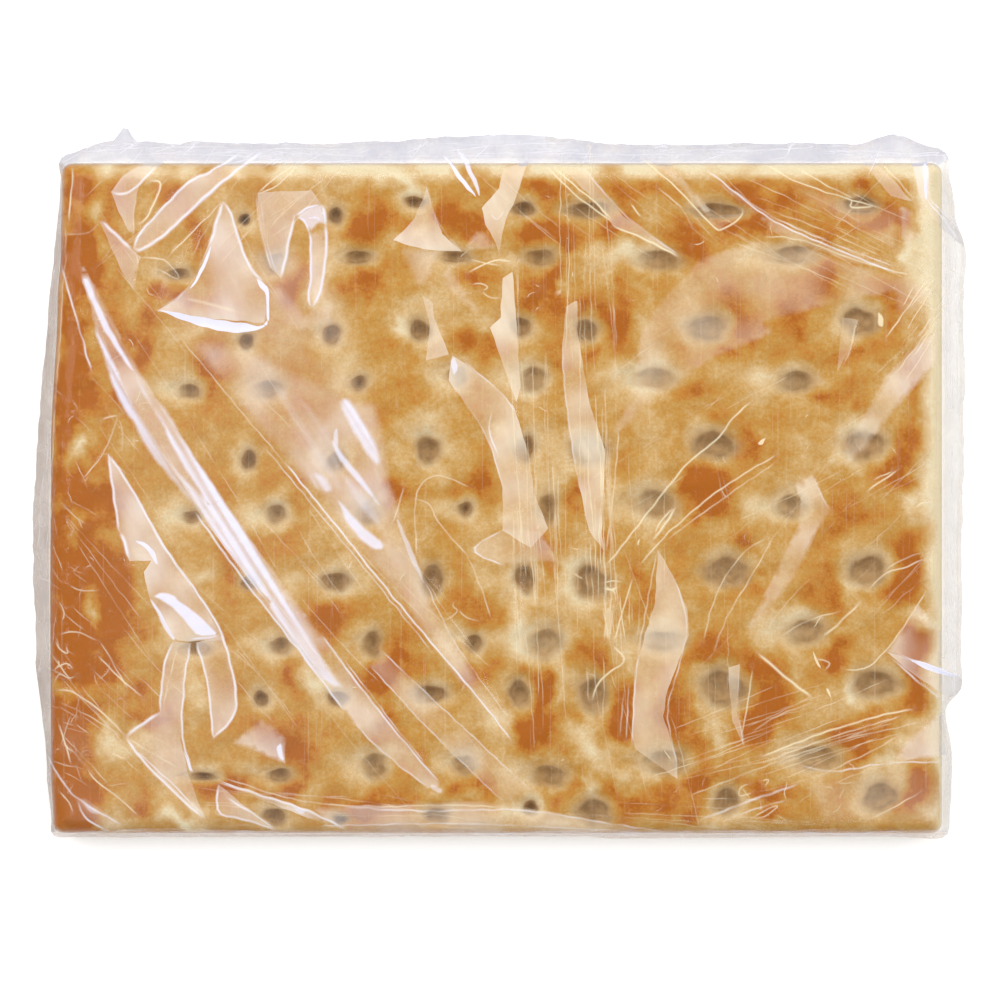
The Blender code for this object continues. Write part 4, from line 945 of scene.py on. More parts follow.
class Plan:
    """Points and fixed edges in plan, for a triangulation that keeps the edges."""

    def __init__(self):
        self.parts, self.edges, self.count = [], [], 0

    def add(self, points):
        """Adds loose points."""
        self.parts.append(np.asarray(points, float).reshape(-1, 2))
        self.count += len(self.parts[-1])

    def line(self, points, closed=False):
        """Adds points that are joined by edges."""
        first = self.count
        self.add(points)
        self.edges += [(i, i + 1) for i in range(first, self.count - 1)]
        if closed:
            self.edges.append((self.count - 1, first))

    def fill(self, points, least):
        """Adds those of the points that are not too near to one already there."""
        tree = KDTree(self.count)
        for i, (x, y) in enumerate(np.concatenate(self.parts)):
            tree.insert((x, y, 0), i)
        tree.balance()
        self.add([p for p in points.tolist() if tree.find((*p, 0))[2] > least])

    def triangles(self, outline_count):
        """(points, faces) within the outline, which was added first."""
        corners = [Vector(p) for p in np.concatenate(self.parts).tolist()]
        points, _, faces, *_ = delaunay_2d_cdt(corners, self.edges, [list(range(outline_count))], 1, MERGE)
        return np.array([tuple(p) for p in points]), [tuple(face) for face in faces]


def grid(size, step, seed):
    """Loose points in staggered rows."""
    rng = np.random.default_rng(seed)
    columns, rows = np.ceil(np.array(size) / step / 2).astype(int)
    i, j = np.meshgrid(np.arange(-columns, columns + 1), np.arange(-rows, rows + 1))
    points = np.stack((i + 0.5 * (j % 2), j), -1).reshape(-1, 2)
    return (points + rng.uniform(-GRID_JITTER, GRID_JITTER, points.shape)) * step


def bread_middle():
    """The point under the bread's middle, in metres."""
    low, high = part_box("wrapped_focaccia")
    return np.array((high.x - FROM_RIGHT * MM, low.y + FROM_NEAR * MM, low.z))


def mesh_piece(name, points, faces):
    """An object of these millimetre points, with the left side's lean, set where the frame has the bread."""
    points = points.copy()
    points[:, 0] += lean(points[:, :2])
    mesh = bpy.data.meshes.new(name)
    mesh.from_pydata((points * MM + bread_middle()).tolist(), [], faces)
    mesh.shade_smooth()
    mesh.set_sharp_from_angle(angle=math.radians(60))
    piece = bpy.data.objects.new(name, mesh)
    bpy.context.scene.collection.objects.link(piece)
    return piece


def paint(piece, name, domain, values):
    """Stores one colour for each point or corner."""
    layer = piece.data.attributes.new(name, "FLOAT_COLOR", domain)
    values = np.concatenate((values, np.ones((len(values), 4 - values.shape[1]))), 1)
    layer.data.foreach_set("color", values.astype(np.float32).ravel())


dimples = Dimples()


def sheet_height(points):
    """The crust's height without dimples, and how far it has risen from the shoulder."""
    depth = np.clip(-off_side(points) / SHOULDER_REACH, 0, 1)
    rise = np.sqrt(1 - (1 - depth) ** 2)
    return SHOULDER_HEIGHT + (CRUST_HEIGHT - SHOULDER_HEIGHT) * rise, rise


def crust_height(points):
    """The height of the baked crust."""
    sheet, rise = sheet_height(points)
    reach, _, gap, which, left = dimples.measure(points)
    top = sheet - PILLOW_SWELL * rise * (1 - smooth(gap / PILLOW_REACH))
    top -= FUNNEL_DEPTH * rise * (1 - past(reach, 1, FUNNEL_SPREAD - 1))
    top += ripples(points, CRUST_RIPPLES) * rise
    floor = DIMPLE_FLOOR + TAIL_RISE * dimples.ovals[which] * past(left, TAIL_START, TAIL_SPAN)
    return floor + (top - floor) * past(reach, DIMPLE_WALL, 1 - DIMPLE_WALL)


def near_box(points, shape, reach):
    """The numbers of the points in the shape's box, grown by a reach."""
    low, high = shape.min(0) - reach, shape.max(0) + reach
    return np.flatnonzero(((points > low) & (points < high)).all(1))


def blot(points, middle, half):
    """An oval spot: 1 in its middle, and almost 0 a little outside it."""
    return np.exp(-((((points - middle) / half) ** 2).sum(1) ** 1.3))


def pale_dough(points):
    """How pale the crust is, from 0 to 1: round the dimples, and along the right and the far side."""
    x, y = points.T
    _, beyond, _, which, _ = dimples.measure(points)
    size = np.sqrt(dimples.halves[which].prod(1))
    reach = RING_REACH + RING_GROWTH * size + RING_STRAY * waves(points, 12, 54)
    pale = PALE_RING * np.exp(-((np.maximum(beyond, 0) / np.maximum(reach, 0.5)) ** RING_FADE))
    for middle, half, oval in zip(dimples.middles, dimples.halves, dimples.ovals):
        if oval:
            near = near_box(points, np.array((middle - half * 3.2, middle + half * 2.2)), 0)
            tail = blot(points[near], middle - half * (1.1, 0), half * (1.5, 1.3) + 1.2)
            pale[near] = np.maximum(pale[near], PALE_TAIL * tail)
    pale *= np.clip(0.90 + 0.16 * waves(points, 18, 55), 0, 1)
    start = 189 + 5 * past(-y, 112, 14) - 5 * past(y, 60, 30)
    right = PALE_RIGHT * past(x - 1.5 * waves(points, 30, 57), start, 9)
    far = past(y, 140, 7) * past(x, -192, 14)
    far *= np.clip(0.72 + 0.3 * waves(points, 26, 58) + 0.2 * past(x, 0, 60), 0, 1)
    return 1 - (1 - pale) * (1 - right) * (1 - far)


def crust_bake(points):
    """How brown the crust is, 0 to 1, its painted shade and darker dough in dimples, and where crumb shows.
    """
    x = points[:, 0]
    bake = BAKE + ripples(points, BAKE_RIPPLES) + HALF_BAKE * past(-x, -20, 80)
    bake += (LEFT_BAKE + 0.08 * waves(points, 16, 60)) * past(-x - 5 * waves(points, 26, 61), 158, 26)
    strayed = points + PATCH_WANDER * drift(points, 24, 56) + PATCH_FRAY * drift(points, 8, 58)
    for change, patches in CRUST_PATCHES:
        for *middle, half_length, half_width in patches:
            bake += PATCH_DEPTH * change * blot(strayed, middle, (half_length, half_width))
    bake = np.clip(bake, 0, MOST_BAKE) * (1 - pale_dough(points))
    reach, _, _, which, left = dimples.measure(points)
    tail = dimples.ovals[which] * smooth(0.7 * left + 0.1)
    # Painted shade in the dimples and just past their rims, less at an oval's shallow tail; it also stands
    # for their darker dough
    dimple_shade_and_dough = (1 - past(reach, PIT_START, PIT_SPAN)) * (1 - 0.14 * dimples.ovals[which] - 0.6 * tail)
    side = past(off_side(points), -0.4, 0.5) * (x > 196)
    return np.stack((bake, dimple_shade_and_dough, side), 1)


def side_bake(normals, height):
    """The same for the points at this height on the bread's sides: browner to the left and the far side."""
    browned = np.clip(0.85 - normals[:, 0] - 0.5 * normals[:, 1], 0, 1) * past(height, 2, 10)
    return np.stack((0.1 + 0.5 * browned, np.zeros(len(normals)), 1 - browned), 1)


def closed_below(outline, normals, rings, total):
    """Rings of points below an outline, each at its height and so far out, and the faces that join and close
    them. The outline has the first numbers, and the rings go on from the total."""
    count = len(outline)
    upper = list(range(count))
    points, faces = [], []
    for height, out in rings:
        ring = outline + normals * np.broadcast_to(out, count)[:, None]
        points.append(np.column_stack((ring, np.full(count, height))))
        lower = list(range(total, total + count))
        faces += [(upper[(i + 1) % count], upper[i], lower[i], lower[(i + 1) % count]) for i in range(count)]
        upper, total = lower, total + count
    return points, faces + [tuple(reversed(upper))]


def bread():
    """The bread, as one closed piece."""
    outline, normals = bread_outline(BREAD_STEP)
    plan = Plan()
    plan.line(outline, closed=True)
    for share in SHOULDER_SHARES:
        inner = outline - normals * share * SHOULDER_REACH
        plan.add(inner[dimples.measure(inner)[0] > CLEAR_RINGS])
    for k in range(len(dimples.middles)):
        plan.add(dimples.middles[k])
        for share in sorted(DIMPLE_LOOPS + DIMPLE_RINGS):
            ring = dimples.ring(k, share)
            on_top = off_side(ring) < -DIMPLE_INSET
            if share in DIMPLE_LOOPS and on_top.all():
                plan.line(ring, closed=True)
            else:
                plan.add(ring[on_top])
    loose = grid(BREAD_SIZE, BREAD_FILL, BREAD_SEED)
    loose = loose[(off_side(loose) < -BREAD_INSET) & (dimples.measure(loose)[0] > CLEAR_FILL)]
    plan.fill(loose, BREAD_CLEAR)
    points, faces = plan.triangles(len(outline))
    sides, side_faces = closed_below(outline, normals, SIDE_RINGS, len(points))
    solid = np.concatenate((np.column_stack((points, crust_height(points))), *sides))
    piece = mesh_piece("focaccia", solid, faces + side_faces)
    marks = [crust_bake(points)] + [side_bake(normals, height) for height, _ in SIDE_RINGS]
    # Browning, painted shade with darker dough in the dimples, and crumb on the sides
    paint(piece, "bake", "POINT", np.concatenate(marks))
    piece.data.materials.append(crust_material())
    return piece


def resampled(points, step, closed=False):
    """Points at even steps along a line, with its corners kept, each a little off by a rule of its place."""
    points = np.asarray(points, float)
    if closed:
        points = np.concatenate((points, points[:1]))
    out = []
    for a, b in zip(points, points[1:]):
        steps = max(1, round(np.hypot(*(b - a)) / step))
        out.append(a + (b - a) * (np.arange(steps) / steps)[:, None])
    out = np.concatenate(out) if closed else np.concatenate(out + [points[-1:]])
    return out + LINE_WANDER * drift(out, 8, 71)


def curved(points, rounds=2):
    """Cuts the corners of an open line, which turns it into a soft curve with the same ends."""
    points = np.asarray(points, float)
    for _ in range(rounds):
        if len(points) < 3:
            return points
        a, b = points[:-1], points[1:]
        cut = np.stack((a * 0.75 + b * 0.25, a * 0.25 + b * 0.75), 1).reshape(-1, 2)
        points = np.concatenate((points[:1], cut[1:-1], points[-1:]))
    return points


def rounded(loop):
    """Cuts the corners of a closed loop."""
    after = np.roll(loop, -1, 0)
    return np.stack((loop * 0.8 + after * 0.2, loop * 0.2 + after * 0.8), 1).reshape(-1, 2)


def along_band(points):
    """The points with the direction of the lamps' long reflection shrunk, which turns waves into streaks."""
    run = direction(BAND_ANGLE)
    return points - BAND_SHRINK * (points @ run)[:, None] * run


def line_distance(points, line):
    """Distance from a line, and how far along it the nearest point is."""
    legs = np.diff(line, axis=0)
    lengths = np.hypot(*legs.T)
    starts = np.concatenate(((0,), np.cumsum(lengths)[:-1]))
    best = np.full(len(points), np.inf)
    along = np.zeros(len(points))
    for start, leg, length, run in zip(line, legs, lengths, starts):
        if length < TINY:
            continue
        share = np.clip((points - start) @ leg / length**2, 0, 1)
        distance = np.hypot(*(points - start - share[:, None] * leg).T)
        closer = distance < best
        best[closer] = distance[closer]
        along[closer] = run + share[closer] * length
    return best, along, lengths.sum()


def edge_distance(points, loop):
    """Distance from the edge of a closed loop."""
    return line_distance(points, np.concatenate((loop, loop[:1])))[0]


def inside(points, loop):
    """Which points are in a closed loop."""
    x, y = points.T
    result = np.zeros(len(points), bool)
    for (x0, y0), (x1, y1) in zip(loop, np.roll(loop, -1, 0)):
        crosses = (y0 > y) != (y1 > y)
        if y0 != y1:
            result ^= crosses & (x < (x1 - x0) * (y - y0) / (y1 - y0) + x0)
    return result


def inset(loop, depth):
    """Points at this depth inside a closed loop, one for each of its own."""
    across = sideways(np.roll(loop, -1, 0) - np.roll(loop, 1, 0))
    turning = (loop * np.roll(loop, -1, 0)[:, ::-1] * (1, -1)).sum()
    points = loop + across * depth * np.sign(turning)
    return points[inside(points, loop) & (edge_distance(points, loop) > INSET_LEAST * depth)]


def on_film(points):
    """Which points lie well within the bag's rim."""
    off, reach = past_side(points)
    return off < np.maximum(1, RIM_SHARE * reach)


def film_height(points):
    """The film's height: on the crust, over the dimples, down to the rim, and up along the pleats."""
    sheet, rise = sheet_height(points)
    gap = dimples.measure(points)[2]
    height = sheet + FILM_GAP - FILM_DIP * rise * (1 - smooth(gap / PILLOW_REACH))
    height += (0.1 + 0.12 * np.abs(waves(points * (1, 0.45), 13, 61)) + 0.05 * waves(points, 5, 62)) * rise
    height = np.maximum(height, crust_height(points) + FILM_LEAST)
    off, reach = past_side(points)
    share = np.clip(off / np.maximum(reach, 0.1), 0, 1)
    hanging = RIM_HEIGHT + (SHOULDER_HEIGHT + FILM_GAP - RIM_HEIGHT) * (1 - share) ** SKIRT_SAG
    hanging += ripples(points, SKIRT_RIPPLES) * np.minimum(1, 6 * share * (1 - share))
    height = np.where(off > 0, hanging, height)
    for lift, half_width, crest in PLEATS:
        near = near_box(points, np.array(crest), half_width)
        distance, along, length = line_distance(points[near], straightened(crest))
        taper = smooth(np.minimum(along, length - along) / PLEAT_TAPER)
        height[near] += lift * PLEAT_SHARE * taper * np.clip(1 - distance / half_width, 0, 1) ** 1.3
    return height


def hair_lines():
    """Fine straight creases with painted highlights, scattered in fields."""
    rng = np.random.default_rng(HAIR_SEED)
    for kind, place, spread, degrees, fan, count, length, strength in HAIR_FIELDS:
        for _ in range(count):
            middle = place + rng.uniform(-1, 1, 2) * spread
            angle = math.radians(degrees + rng.uniform(-fan, fan))
            half = 0.5 * length * rng.uniform(0.4, 1.3)
            bow = rng.uniform(-0.06, 0.06) * half
            run = direction(angle)
            line = [middle - run * half, middle + direction(angle + math.pi / 2) * bow, middle + run * half]
            yield kind, strength * rng.uniform(0.5, 1.2), line


def squiggles():
    """Small tangled creases with painted glints: short curls that turn at random."""
    rng = np.random.default_rng(SQUIGGLE_SEED)
    for middle, spread, count, size in SQUIGGLE_FIELDS:
        for _ in range(count):
            place = middle + rng.uniform(-1, 1, 2) * spread
            heading = rng.uniform(0, 2 * math.pi)
            line = [place]
            for _ in range(rng.integers(1, 4)):
                heading += rng.choice((-1, 1)) * rng.uniform(0.1, 0.7)
                place = place + size * rng.uniform(0.6, 1.8) * direction(heading)
                line.append(place)
            yield rng.uniform(0.35, 0.8), line


class Film:
    """The film's shapes in plan: creases as curves, and veils and shines, its painted lamp reflections, as
    closed loops.
    """

    def __init__(self):
        self.creases = []
        for kind, half_width, lift, creases in CREASES:
            for strength, line in creases:
                self.crease(kind, strength, half_width, lift, curved(straightened(line)))
        for kind, strength, line in hair_lines():
            self.crease(kind, strength, *HAIR_SIZE, curved(straightened(line)))
        for strength, line in squiggles():
            self.crease(CREAM_GLINT, strength, *SQUIGGLE_SIZE, curved(straightened(line), 1))
        self.veils = []
        for strength, soft, loop in PAINTED_REFLECTIONS.values():
            self.veils.append((strength, soft, resampled(straightened(loop), CREASE_STEP, closed=True)))
        self.shines = []
        for kind, shapes in ((SHINE, SHINES), (CREAM_GLINT, GLINTS)):
            for strength, soft, loop in shapes.values():
                loop = resampled(rounded(straightened(loop)), SHINE_STEP, closed=True)
                self.shines.append((kind, strength, soft, loop))

    def crease(self, kind, strength, half_width, lift, line):
        """Adds one crease."""
        self.creases.append((kind, strength, half_width, lift, resampled(line, CREASE_STEP)))

    def plan(self):
        """The bread's outline, its outward directions, the bag's reach, and the film's points and faces."""
        outline, normals = bread_outline(FILM_STEP)
        reach = margin(outline, normals)
        plan = Plan()
        plan.line(outline + normals * reach[:, None], closed=True)
        plan.line(outline, closed=True)
        for *_, loop in self.shines + self.veils:
            kept = loop[on_film(loop)]
            plan.line(kept, closed=len(kept) == len(loop))
        for _, _, half_width, _, line in self.creases:
            line = line[on_film(line)]
            if len(line) < 3:
                continue
            across = sideways(np.gradient(line, axis=0))
            plan.line(line)
            for side in (-1, 1):
                plan.line((line + side * across * half_width)[1:-1])
        for *_, soft, loop in self.shines:
            plan.add(inset(loop, soft))
        loose = grid(BREAD_SIZE, SHINE_FILL, SHINE_SEED)
        for *_, loop in self.shines:
            near = loose[near_box(loose, loop, 0)]
            plan.fill(near[inside(near, loop)], SHINE_CLEAR)
        for share in SKIRT_SHARES:
            plan.fill(outline + normals * (reach * share)[:, None], LEAST_GAP)
        for share in SHOULDER_SHARES:
            plan.fill(outline - normals * share * SHOULDER_REACH, LEAST_GAP)
        loose = grid(BREAD_SIZE, FILM_FILL, FILM_SEED)
        plan.fill(loose[off_side(loose) < -FILM_INSET], FILM_CLEAR)
        return outline, normals, reach, *plan.triangles(len(outline))

    def marks(self, points):
        """Each point's painted crease highlight, cream glint and lamp reflection, and the height its creases
        add.
        """
        marks = {kind: np.zeros(len(points)) for kind in (WHITE_GLINT, CREAM_GLINT, SHINE)}
        lift = np.zeros(len(points))
        uneven = np.clip(CREASE + ripples(points, CREASE_RIPPLES), *CREASE_RANGE)
        for kind, strength, half_width, height, line in self.creases:
            near = near_box(points, line, half_width)
            distance, along, length = line_distance(points[near], line)
            taper = smooth(0.2 + np.minimum(along, length - along) / min(CREASE_TAPER, length / 3))
            share = np.clip(1 - distance / half_width, 0, 1) * taper
            mark = marks[kind]
            own = strength * (uneven[near] + (1 - uneven[near]) * strength**2)
            mark[near] = np.maximum(mark[near], own * share)
            lift[near] = np.maximum(lift[near], height * share)
        for kind, strength, soft, loop in self.shines:
            near = near_box(points, loop, 0)
            near = near[inside(points[near], loop)]
            mark = marks[kind]
            own = strength * smooth(edge_distance(points[near], loop) / soft)
            if soft > STREAKY_REFLECTION_SOFT:
                own *= np.clip(STREAK + ripples(along_band(points[near]), STREAK_RIPPLES), *STREAK_RANGE)
            mark[near] = np.maximum(mark[near], own)
        return [np.clip(marks[kind], 0, MOST_LINE) for kind in (WHITE_GLINT, CREAM_GLINT, SHINE)] + [lift]

    def veil(self, points, faces):
        """The veils' painted lamp reflection at each face corner, stronger here and there and at their
        edges.
        """
        corners = points[faces]
        centres = corners.mean(1)
        alpha = np.zeros((len(faces), 3))
        for number, (strength, soft, loop) in enumerate(self.veils):
            near = near_box(centres, loop, 0)
            hit = near[inside(centres[near], loop)]
            spots = corners[hit].reshape(-1, 2)
            distance = edge_distance(spots, loop)
            own = strength * (VEIL + ripples(spots, ((*VEIL_RIPPLE, VEIL_SEED + number),)))
            own += VEIL_EDGE * np.exp(-distance / EDGE_REACH)
            if soft:
                own *= smooth(distance / soft)
            own = np.clip(own, 0, MOST_COVER).reshape(-1, 3)
            alpha[hit] = 1 - (1 - alpha[hit]) * (1 - own)
        return alpha


def slack_tint(centres):
    """The film's tint at each place, and its slack edge's haze by side, which on the left also paints shade.
    """
    x = centres[:, 0]
    warm = past(x, -90, 110) * (1 - past(x, 170, 20))
    tint = np.array(VEIL_COOL) + (np.array(VEIL_WARM) - VEIL_COOL) * warm[:, None]
    off = off_side(centres)
    normals = outward(centres)
    sides = (normals[:, 0] < -0.7, normals[:, 0] > 0.7, normals[:, 1] > 0.7, normals[:, 1] < -0.7)
    cover = np.zeros(len(centres))
    for side, (colour, share) in zip(sides, MARGIN_HAZES):
        side = side & (off > HAZE_START)
        tint[side] = colour
        cover[side] = share
    return tint, cover


def haze(points, faces):
    """The film's tint in each face, and the haze of each of its corners, with painted shade in the left
    margin.
    """
    tint, cover = slack_tint(points[faces].mean(1))
    uneven = np.clip(1 + ripples(points, HAZE_RIPPLES), 0.6, 1.3)
    uneven *= past(off_side(points), HAZE_START, HAZE_SPAN)
    mist = MIST * past(points[:, 0], -205, 55) * past(-points[:, 0], 45, 60)
    return tint, np.maximum(np.clip(cover[:, None] * uneven[faces], 0, MOST_COVER), mist[faces])


def film_bag():
    """The bag, as one closed skin: the film over the bread, its slack rim, and the film tucked under it."""
    film = Film()
    outline, normals, reach, points, faces = film.plan()
    *painted_highlights, lift = film.marks(points)
    rings = [(RIM_HEIGHT - RIM_THICKNESS, reach)]
    rings += [(height, reach * share) for share, height in UNDER_RINGS]
    rings.append((UNDERSIDE_HEIGHT, -UNDERSIDE_INSET))
    below, below_faces = closed_below(outline, normals, rings, len(points))
    solid = np.concatenate((np.column_stack((points, film_height(points) + lift)), *below))
    piece = mesh_piece("film_bag", solid, faces + below_faces)
    painted_highlights = np.stack(painted_highlights, 1)
    # Painted crease highlights, cream glints and lamp reflections, point by point
    paint(piece, "painted_highlights", "POINT", np.concatenate((painted_highlights, np.zeros((len(solid) - len(points), 3)))))
    faces = np.array(faces)
    # The film's haze, with painted shade in the left margin, under the veils' painted lamp reflections
    tint, edge = haze(points, faces)
    veil = 1 - (1 - film.veil(points, faces)) * (1 - edge)
    covers = [np.column_stack((np.repeat(tint, 3, 0), veil.ravel()))]
    for ring in below:
        tint, share = slack_tint(ring[:, :2])
        covers.append(np.repeat(np.column_stack((tint, UNDER_LEAST + UNDER_SHARE * share)), 4, 0))
    covers.append(np.tile((*VEIL_COOL, UNDER_LEAST), (len(outline), 1)))
    paint(piece, "veil", "CORNER", np.concatenate(covers))
    piece.data.materials.append(film_material())
    return piece


class Shader:
    """A material's node graph, with short ways to add and join nodes."""

    def __init__(self, name):
        self.material = bpy.data.materials.new(name)
        self.material.use_nodes = True
        self.tree = self.material.node_tree
        self.tree.nodes.clear()
        self.place = self.node("ShaderNodeTexCoord").outputs["Object"]

    def node(self, kind, inputs=(), **settings):
        node = self.tree.nodes.new(kind)
        for name, value in settings.items():
            setattr(node, name, value)
        for key, value in dict(inputs).items():
            if isinstance(value, bpy.types.NodeSocket):
                self.tree.links.new(value, node.inputs[key])
            else:
                node.inputs[key].default_value = value
        return node

    def math(self, operation, a, b=0.0, clamp=False):
        return self.node("ShaderNodeMath", {0: a, 1: b}, operation=operation, use_clamp=clamp).outputs[0]

    def layer(self, alpha, cover, scale=1.0):
        """What shows when a layer of this cover lies over an alpha."""
        free = self.math("SUBTRACT", 1.0, self.math("MULTIPLY", cover, scale))
        return self.math("SUBTRACT", 1.0, self.math("MULTIPLY", self.math("SUBTRACT", 1.0, alpha), free))

    def attribute(self, name):
        """The painted colour of this name, and its alpha."""
        return self.node("ShaderNodeAttribute", attribute_name=name).outputs

    def channels(self, name):
        """The three channels of the painted colour of this name."""
        return self.node("ShaderNodeSeparateColor", {0: self.attribute(name)["Color"]}).outputs[:3]

    def noise(self, size, detail=2.0, stretch=1.0, turn=0.0, roughness=0.5, distortion=0.0):
        """Noise with features of about this size in millimetres, drawn out along Y turned by an angle."""
        values = {0: self.place, "Rotation": (0, 0, turn), "Scale": (1, stretch, 1)}
        place = self.node("ShaderNodeMapping", values, vector_type="TEXTURE").outputs[0]
        values = {"Vector": place, "Scale": 1 / (size * MM), "Detail": detail, "Roughness": roughness,
                  "Distortion": distortion}
        return self.node("ShaderNodeTexNoise", values).outputs["Fac"]

    def between(self, value, low, high, to_low=0.0, to_high=1.0):
        values = {0: value, 1: low, 2: high, 3: to_low, 4: to_high}
        return self.node("ShaderNodeMapRange", values, interpolation_type="SMOOTHSTEP").outputs[0]

    def mix(self, share, a, b):
        return self.node("ShaderNodeMix", {0: share, 6: a, 7: b}, data_type="RGBA").outputs[2]

    def ramp(self, value, stops):
        node = self.node("ShaderNodeValToRGB", {0: value})
        elements = node.color_ramp.elements
        while len(elements) < len(stops):
            elements.new(0.5)
        for element, (position, colour) in zip(elements, stops):
            element.position = position
            element.color = (*colour, 1)
        return node.outputs[0]

    def bump(self, height, distance, strength, normal=None):
        values = {"Height": height, "Distance": distance * MM, "Strength": strength}
        if normal:
            values["Normal"] = normal
        return self.node("ShaderNodeBump", values).outputs[0]

    def finish(self, shader):
        self.node("ShaderNodeOutputMaterial", {0: shader})
        return self.material


def crust_material():
    """Baked crust: pale dough round the dimples, golden between them, orange-brown on the pillows, painted
    shade in the dimples.
    """
    s = Shader("baked_crust")
    bake, dimple_shade_and_dough, side = s.channels("bake")
    cloud = s.between(s.noise(12, 6, roughness=0.62, distortion=0.3), 0.3, 0.7, -0.11, 0.11)
    mottle = s.between(s.noise(2.4, 5, roughness=0.7), 0.3, 0.7, -0.08, 0.08)
    toasted = s.between(bake, 0.0, 0.42, 0.18, 1.0)
    tone = s.math("ADD", bake, s.math("MULTIPLY", s.math("ADD", cloud, mottle), toasted))
    tone = s.math("ADD", tone, s.between(s.noise(1.2, 3, roughness=0.8), 0.3, 0.7, -0.04, 0.04))
    colour = s.ramp(tone, (
        (0.0, (0.73, 0.625, 0.41)), (0.16, (0.635, 0.452, 0.230)), (0.34, (0.552, 0.342, 0.127)),
        (0.52, (0.495, 0.265, 0.058)), (0.75, (0.47, 0.188, 0.027)), (0.95, (0.385, 0.112, 0.009)),
    ))
    # Dimple floors: darker dough, painted darker still for the shade down in them
    floor = s.mix(s.between(s.noise(5, 2), 0.35, 0.65), (0.32, 0.195, 0.084, 1), (0.43, 0.268, 0.122, 1))
    colour = s.mix(dimple_shade_and_dough, colour, floor)
    crumb = s.mix(s.noise(3, 3), (0.76, 0.64, 0.42, 1), (0.68, 0.54, 0.31, 1))
    colour = s.mix(side, colour, crumb)
    fine = s.bump(s.noise(0.8, 3), 0.10, 0.6)
    relief = s.bump(s.noise(3.5, 4), 0.35, 0.6, fine)
    shader = s.node("ShaderNodeBsdfPrincipled", {
        "Base Color": colour, "Roughness": 0.6, "Specular IOR Level": 0.08, "Normal": relief,
    })
    return s.finish(shader.outputs[0])


def film_material():
    """Clear film, see-through and glossy, with painted lamp reflections where it stands off the crust and
    painted crease glints.
    """
    s = Shader("clear_film")
    milk, cream, shine = s.channels("painted_highlights")
    veil = s.attribute("veil")
    # Painted glints: faint streaks and tangled lines of light on the film
    streaks = s.between(s.noise(0.9, 2, stretch=80), 0.60, 0.72)
    streaks = s.math("MULTIPLY", streaks, 0.10)
    scribble = s.math("ABSOLUTE", s.math("SUBTRACT", s.noise(4.5, 1.5, distortion=1.0), 0.5))
    scribble = s.math("MULTIPLY", s.between(scribble, 0.001, 0.010, 1.0, 0.0), 0.08)
    fine = s.layer(streaks, scribble)
    # Patchy strength of the painted veil reflections
    reflection_patchiness = s.between(s.noise(5.0, 3, stretch=5, turn=0.4), 0.3, 0.7, 0.90, 1.06)
    painted_veil_and_haze = s.math("MULTIPLY", veil["Alpha"], reflection_patchiness, clamp=True)
    # Colours of the painted glints, crease highlights and lamp reflections
    tint = s.mix(s.math("MULTIPLY", fine, 2.0, clamp=True), veil["Color"], (0.80, 0.66, 0.38, 1))
    tint = s.mix(cream, tint, (0.90, 0.79, 0.50, 1))
    tint = s.mix(milk, tint, (0.84, 0.82, 0.88, 1))
    tint = s.mix(shine, tint, (0.79, 0.78, 0.92, 1))
    alpha = s.layer(painted_veil_and_haze, fine)
    alpha = s.layer(alpha, cream, 0.85)
    alpha = s.layer(alpha, milk, 0.95)
    alpha = s.layer(alpha, shine)
    # All the painted highlights, glints, lamp reflections and haze, as one diffuse layer
    haze = s.node("ShaderNodeBsdfDiffuse", {"Color": tint}).outputs[0]
    clear = s.node("ShaderNodeBsdfTransparent", {0: (0.99, 0.99, 0.99, 1)}).outputs[0]
    gloss = s.node("ShaderNodeBsdfGlossy", {"Color": (0.95, 0.95, 1.0, 1), "Roughness": 0.10})
    fresnel = s.node("ShaderNodeFresnel", {"IOR": 1.36}).outputs[0]
    mirror = s.math("MINIMUM", s.math("MULTIPLY", fresnel, 0.5), 0.22)
    film = s.node("ShaderNodeMixShader", {0: mirror, 1: clear, 2: gloss.outputs[0]}).outputs[0]
    return s.finish(s.node("ShaderNodeMixShader", {0: alpha, 1: film, 2: haze}).outputs[0])


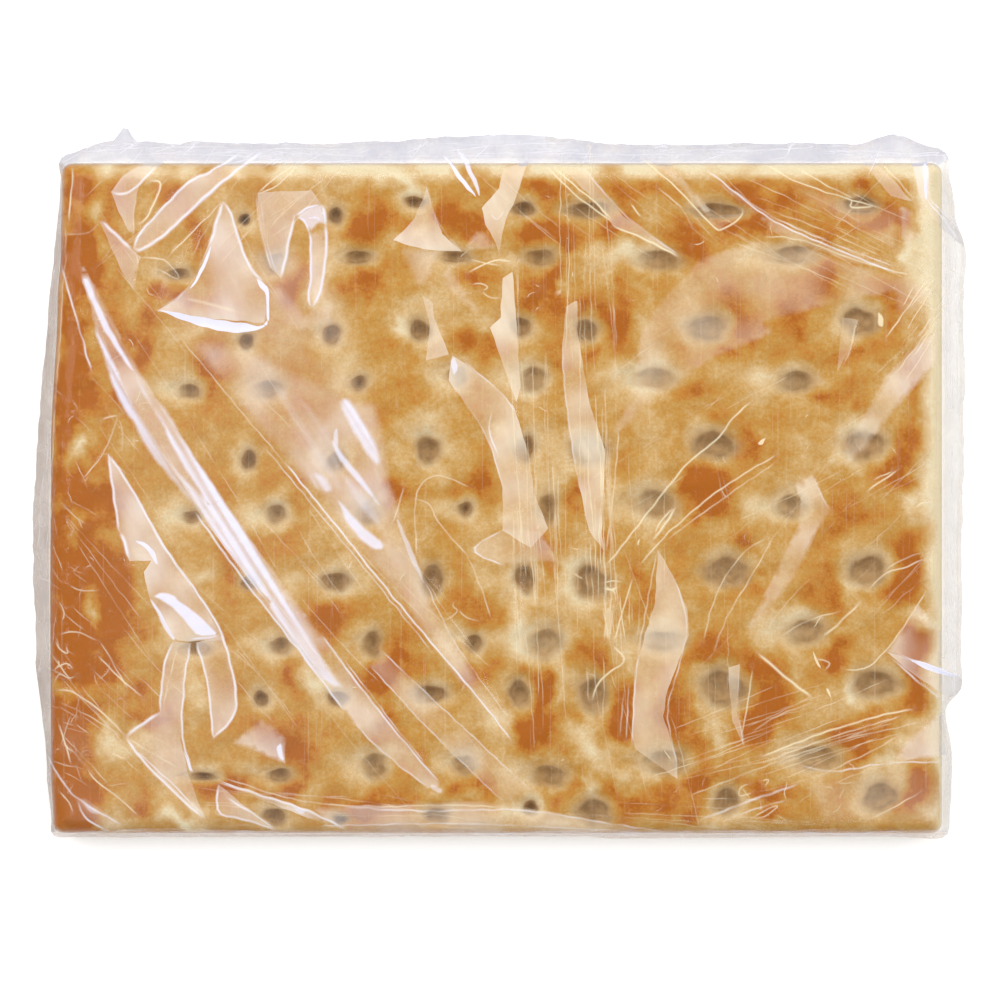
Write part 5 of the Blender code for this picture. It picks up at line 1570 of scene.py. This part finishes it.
def floor_piece():
    """A wide pale floor, a hair below the bag."""
    size, drop = 6.0, 0.0005
    mesh = bpy.data.meshes.new("floor")
    corners = [(-size, -size, 0), (size, -size, 0), (size, size, 0), (-size, size, 0)]
    mesh.from_pydata(corners, [], [(0, 1, 2, 3)])
    floor = bpy.data.objects.new("floor", mesh)
    bpy.context.scene.collection.objects.link(floor)
    floor.location.z = -drop
    s = Shader("pale_floor")
    board = s.node("ShaderNodeBsdfPrincipled", {
        "Base Color": (0.93, 0.93, 0.93, 1), "Roughness": 0.9, "Specular IOR Level": 0.0,
        "Emission Color": (1, 1, 1, 1), "Emission Strength": 0.20,
    })
    mesh.materials.append(s.finish(board.outputs[0]))


def area_light(name, place, size, power):
    """A soft lamp that faces the middle of the floor; metres and watts."""
    light = bpy.data.lights.new(name, "AREA")
    light.shape = "RECTANGLE"
    light.size, light.size_y = size
    light.energy = power
    lamp = bpy.data.objects.new(name, light)
    bpy.context.scene.collection.objects.link(lamp)
    lamp.location = place
    lamp.rotation_euler = (-Vector(place)).to_track_quat("-Z", "Y").to_euler()


def light_scene():
    """Even studio light: a pale surround and four soft lamps."""
    world = bpy.data.worlds.new("studio")
    bpy.context.scene.world = world
    world.use_nodes = True
    background = world.node_tree.nodes["Background"]
    background.inputs["Color"].default_value = (0.95, 0.97, 1.0, 1)
    background.inputs["Strength"].default_value = 0.47
    area_light("left softbox", (-1.25, 0.55, 1.35), (0.9, 1.5), 16)
    area_light("right softbox", (1.25, 0.35, 1.35), (0.9, 1.5), 12.5)
    area_light("far softbox", (0.0, 1.35, 1.35), (1.6, 0.7), 11)
    area_light("near softbox", (0.0, -1.35, 1.35), (1.6, 0.7), 5)


def camera_above():
    """Looks straight down on the bread, a touch right of and nearer than its middle."""
    frame_width, distance, aim_height = 0.449, 2.6, 0.020
    rightwards, nearer = 0.0018, 0.0009
    data = bpy.data.cameras.new("camera")
    data.angle = 2 * math.atan(frame_width / 2 / distance)
    camera = bpy.data.objects.new("camera", data)
    bpy.context.scene.collection.objects.link(camera)
    camera.location = bread_middle() + (rightwards, -nearer, aim_height + distance)
    bpy.context.scene.camera = camera


def main():
    """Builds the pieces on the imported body, then the studio."""
    bread_piece = bread()
    bag_piece = film_bag()
    bag_piece.visible_shadow = False
    for piece, slot in ((bread_piece, "crust"), (bag_piece, "film")):
        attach(piece, "root")
        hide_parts("wrapped_focaccia")
    floor_piece()
    light_scene()
    camera_above()
    bpy.context.scene.view_settings.view_transform = "Standard"


main()
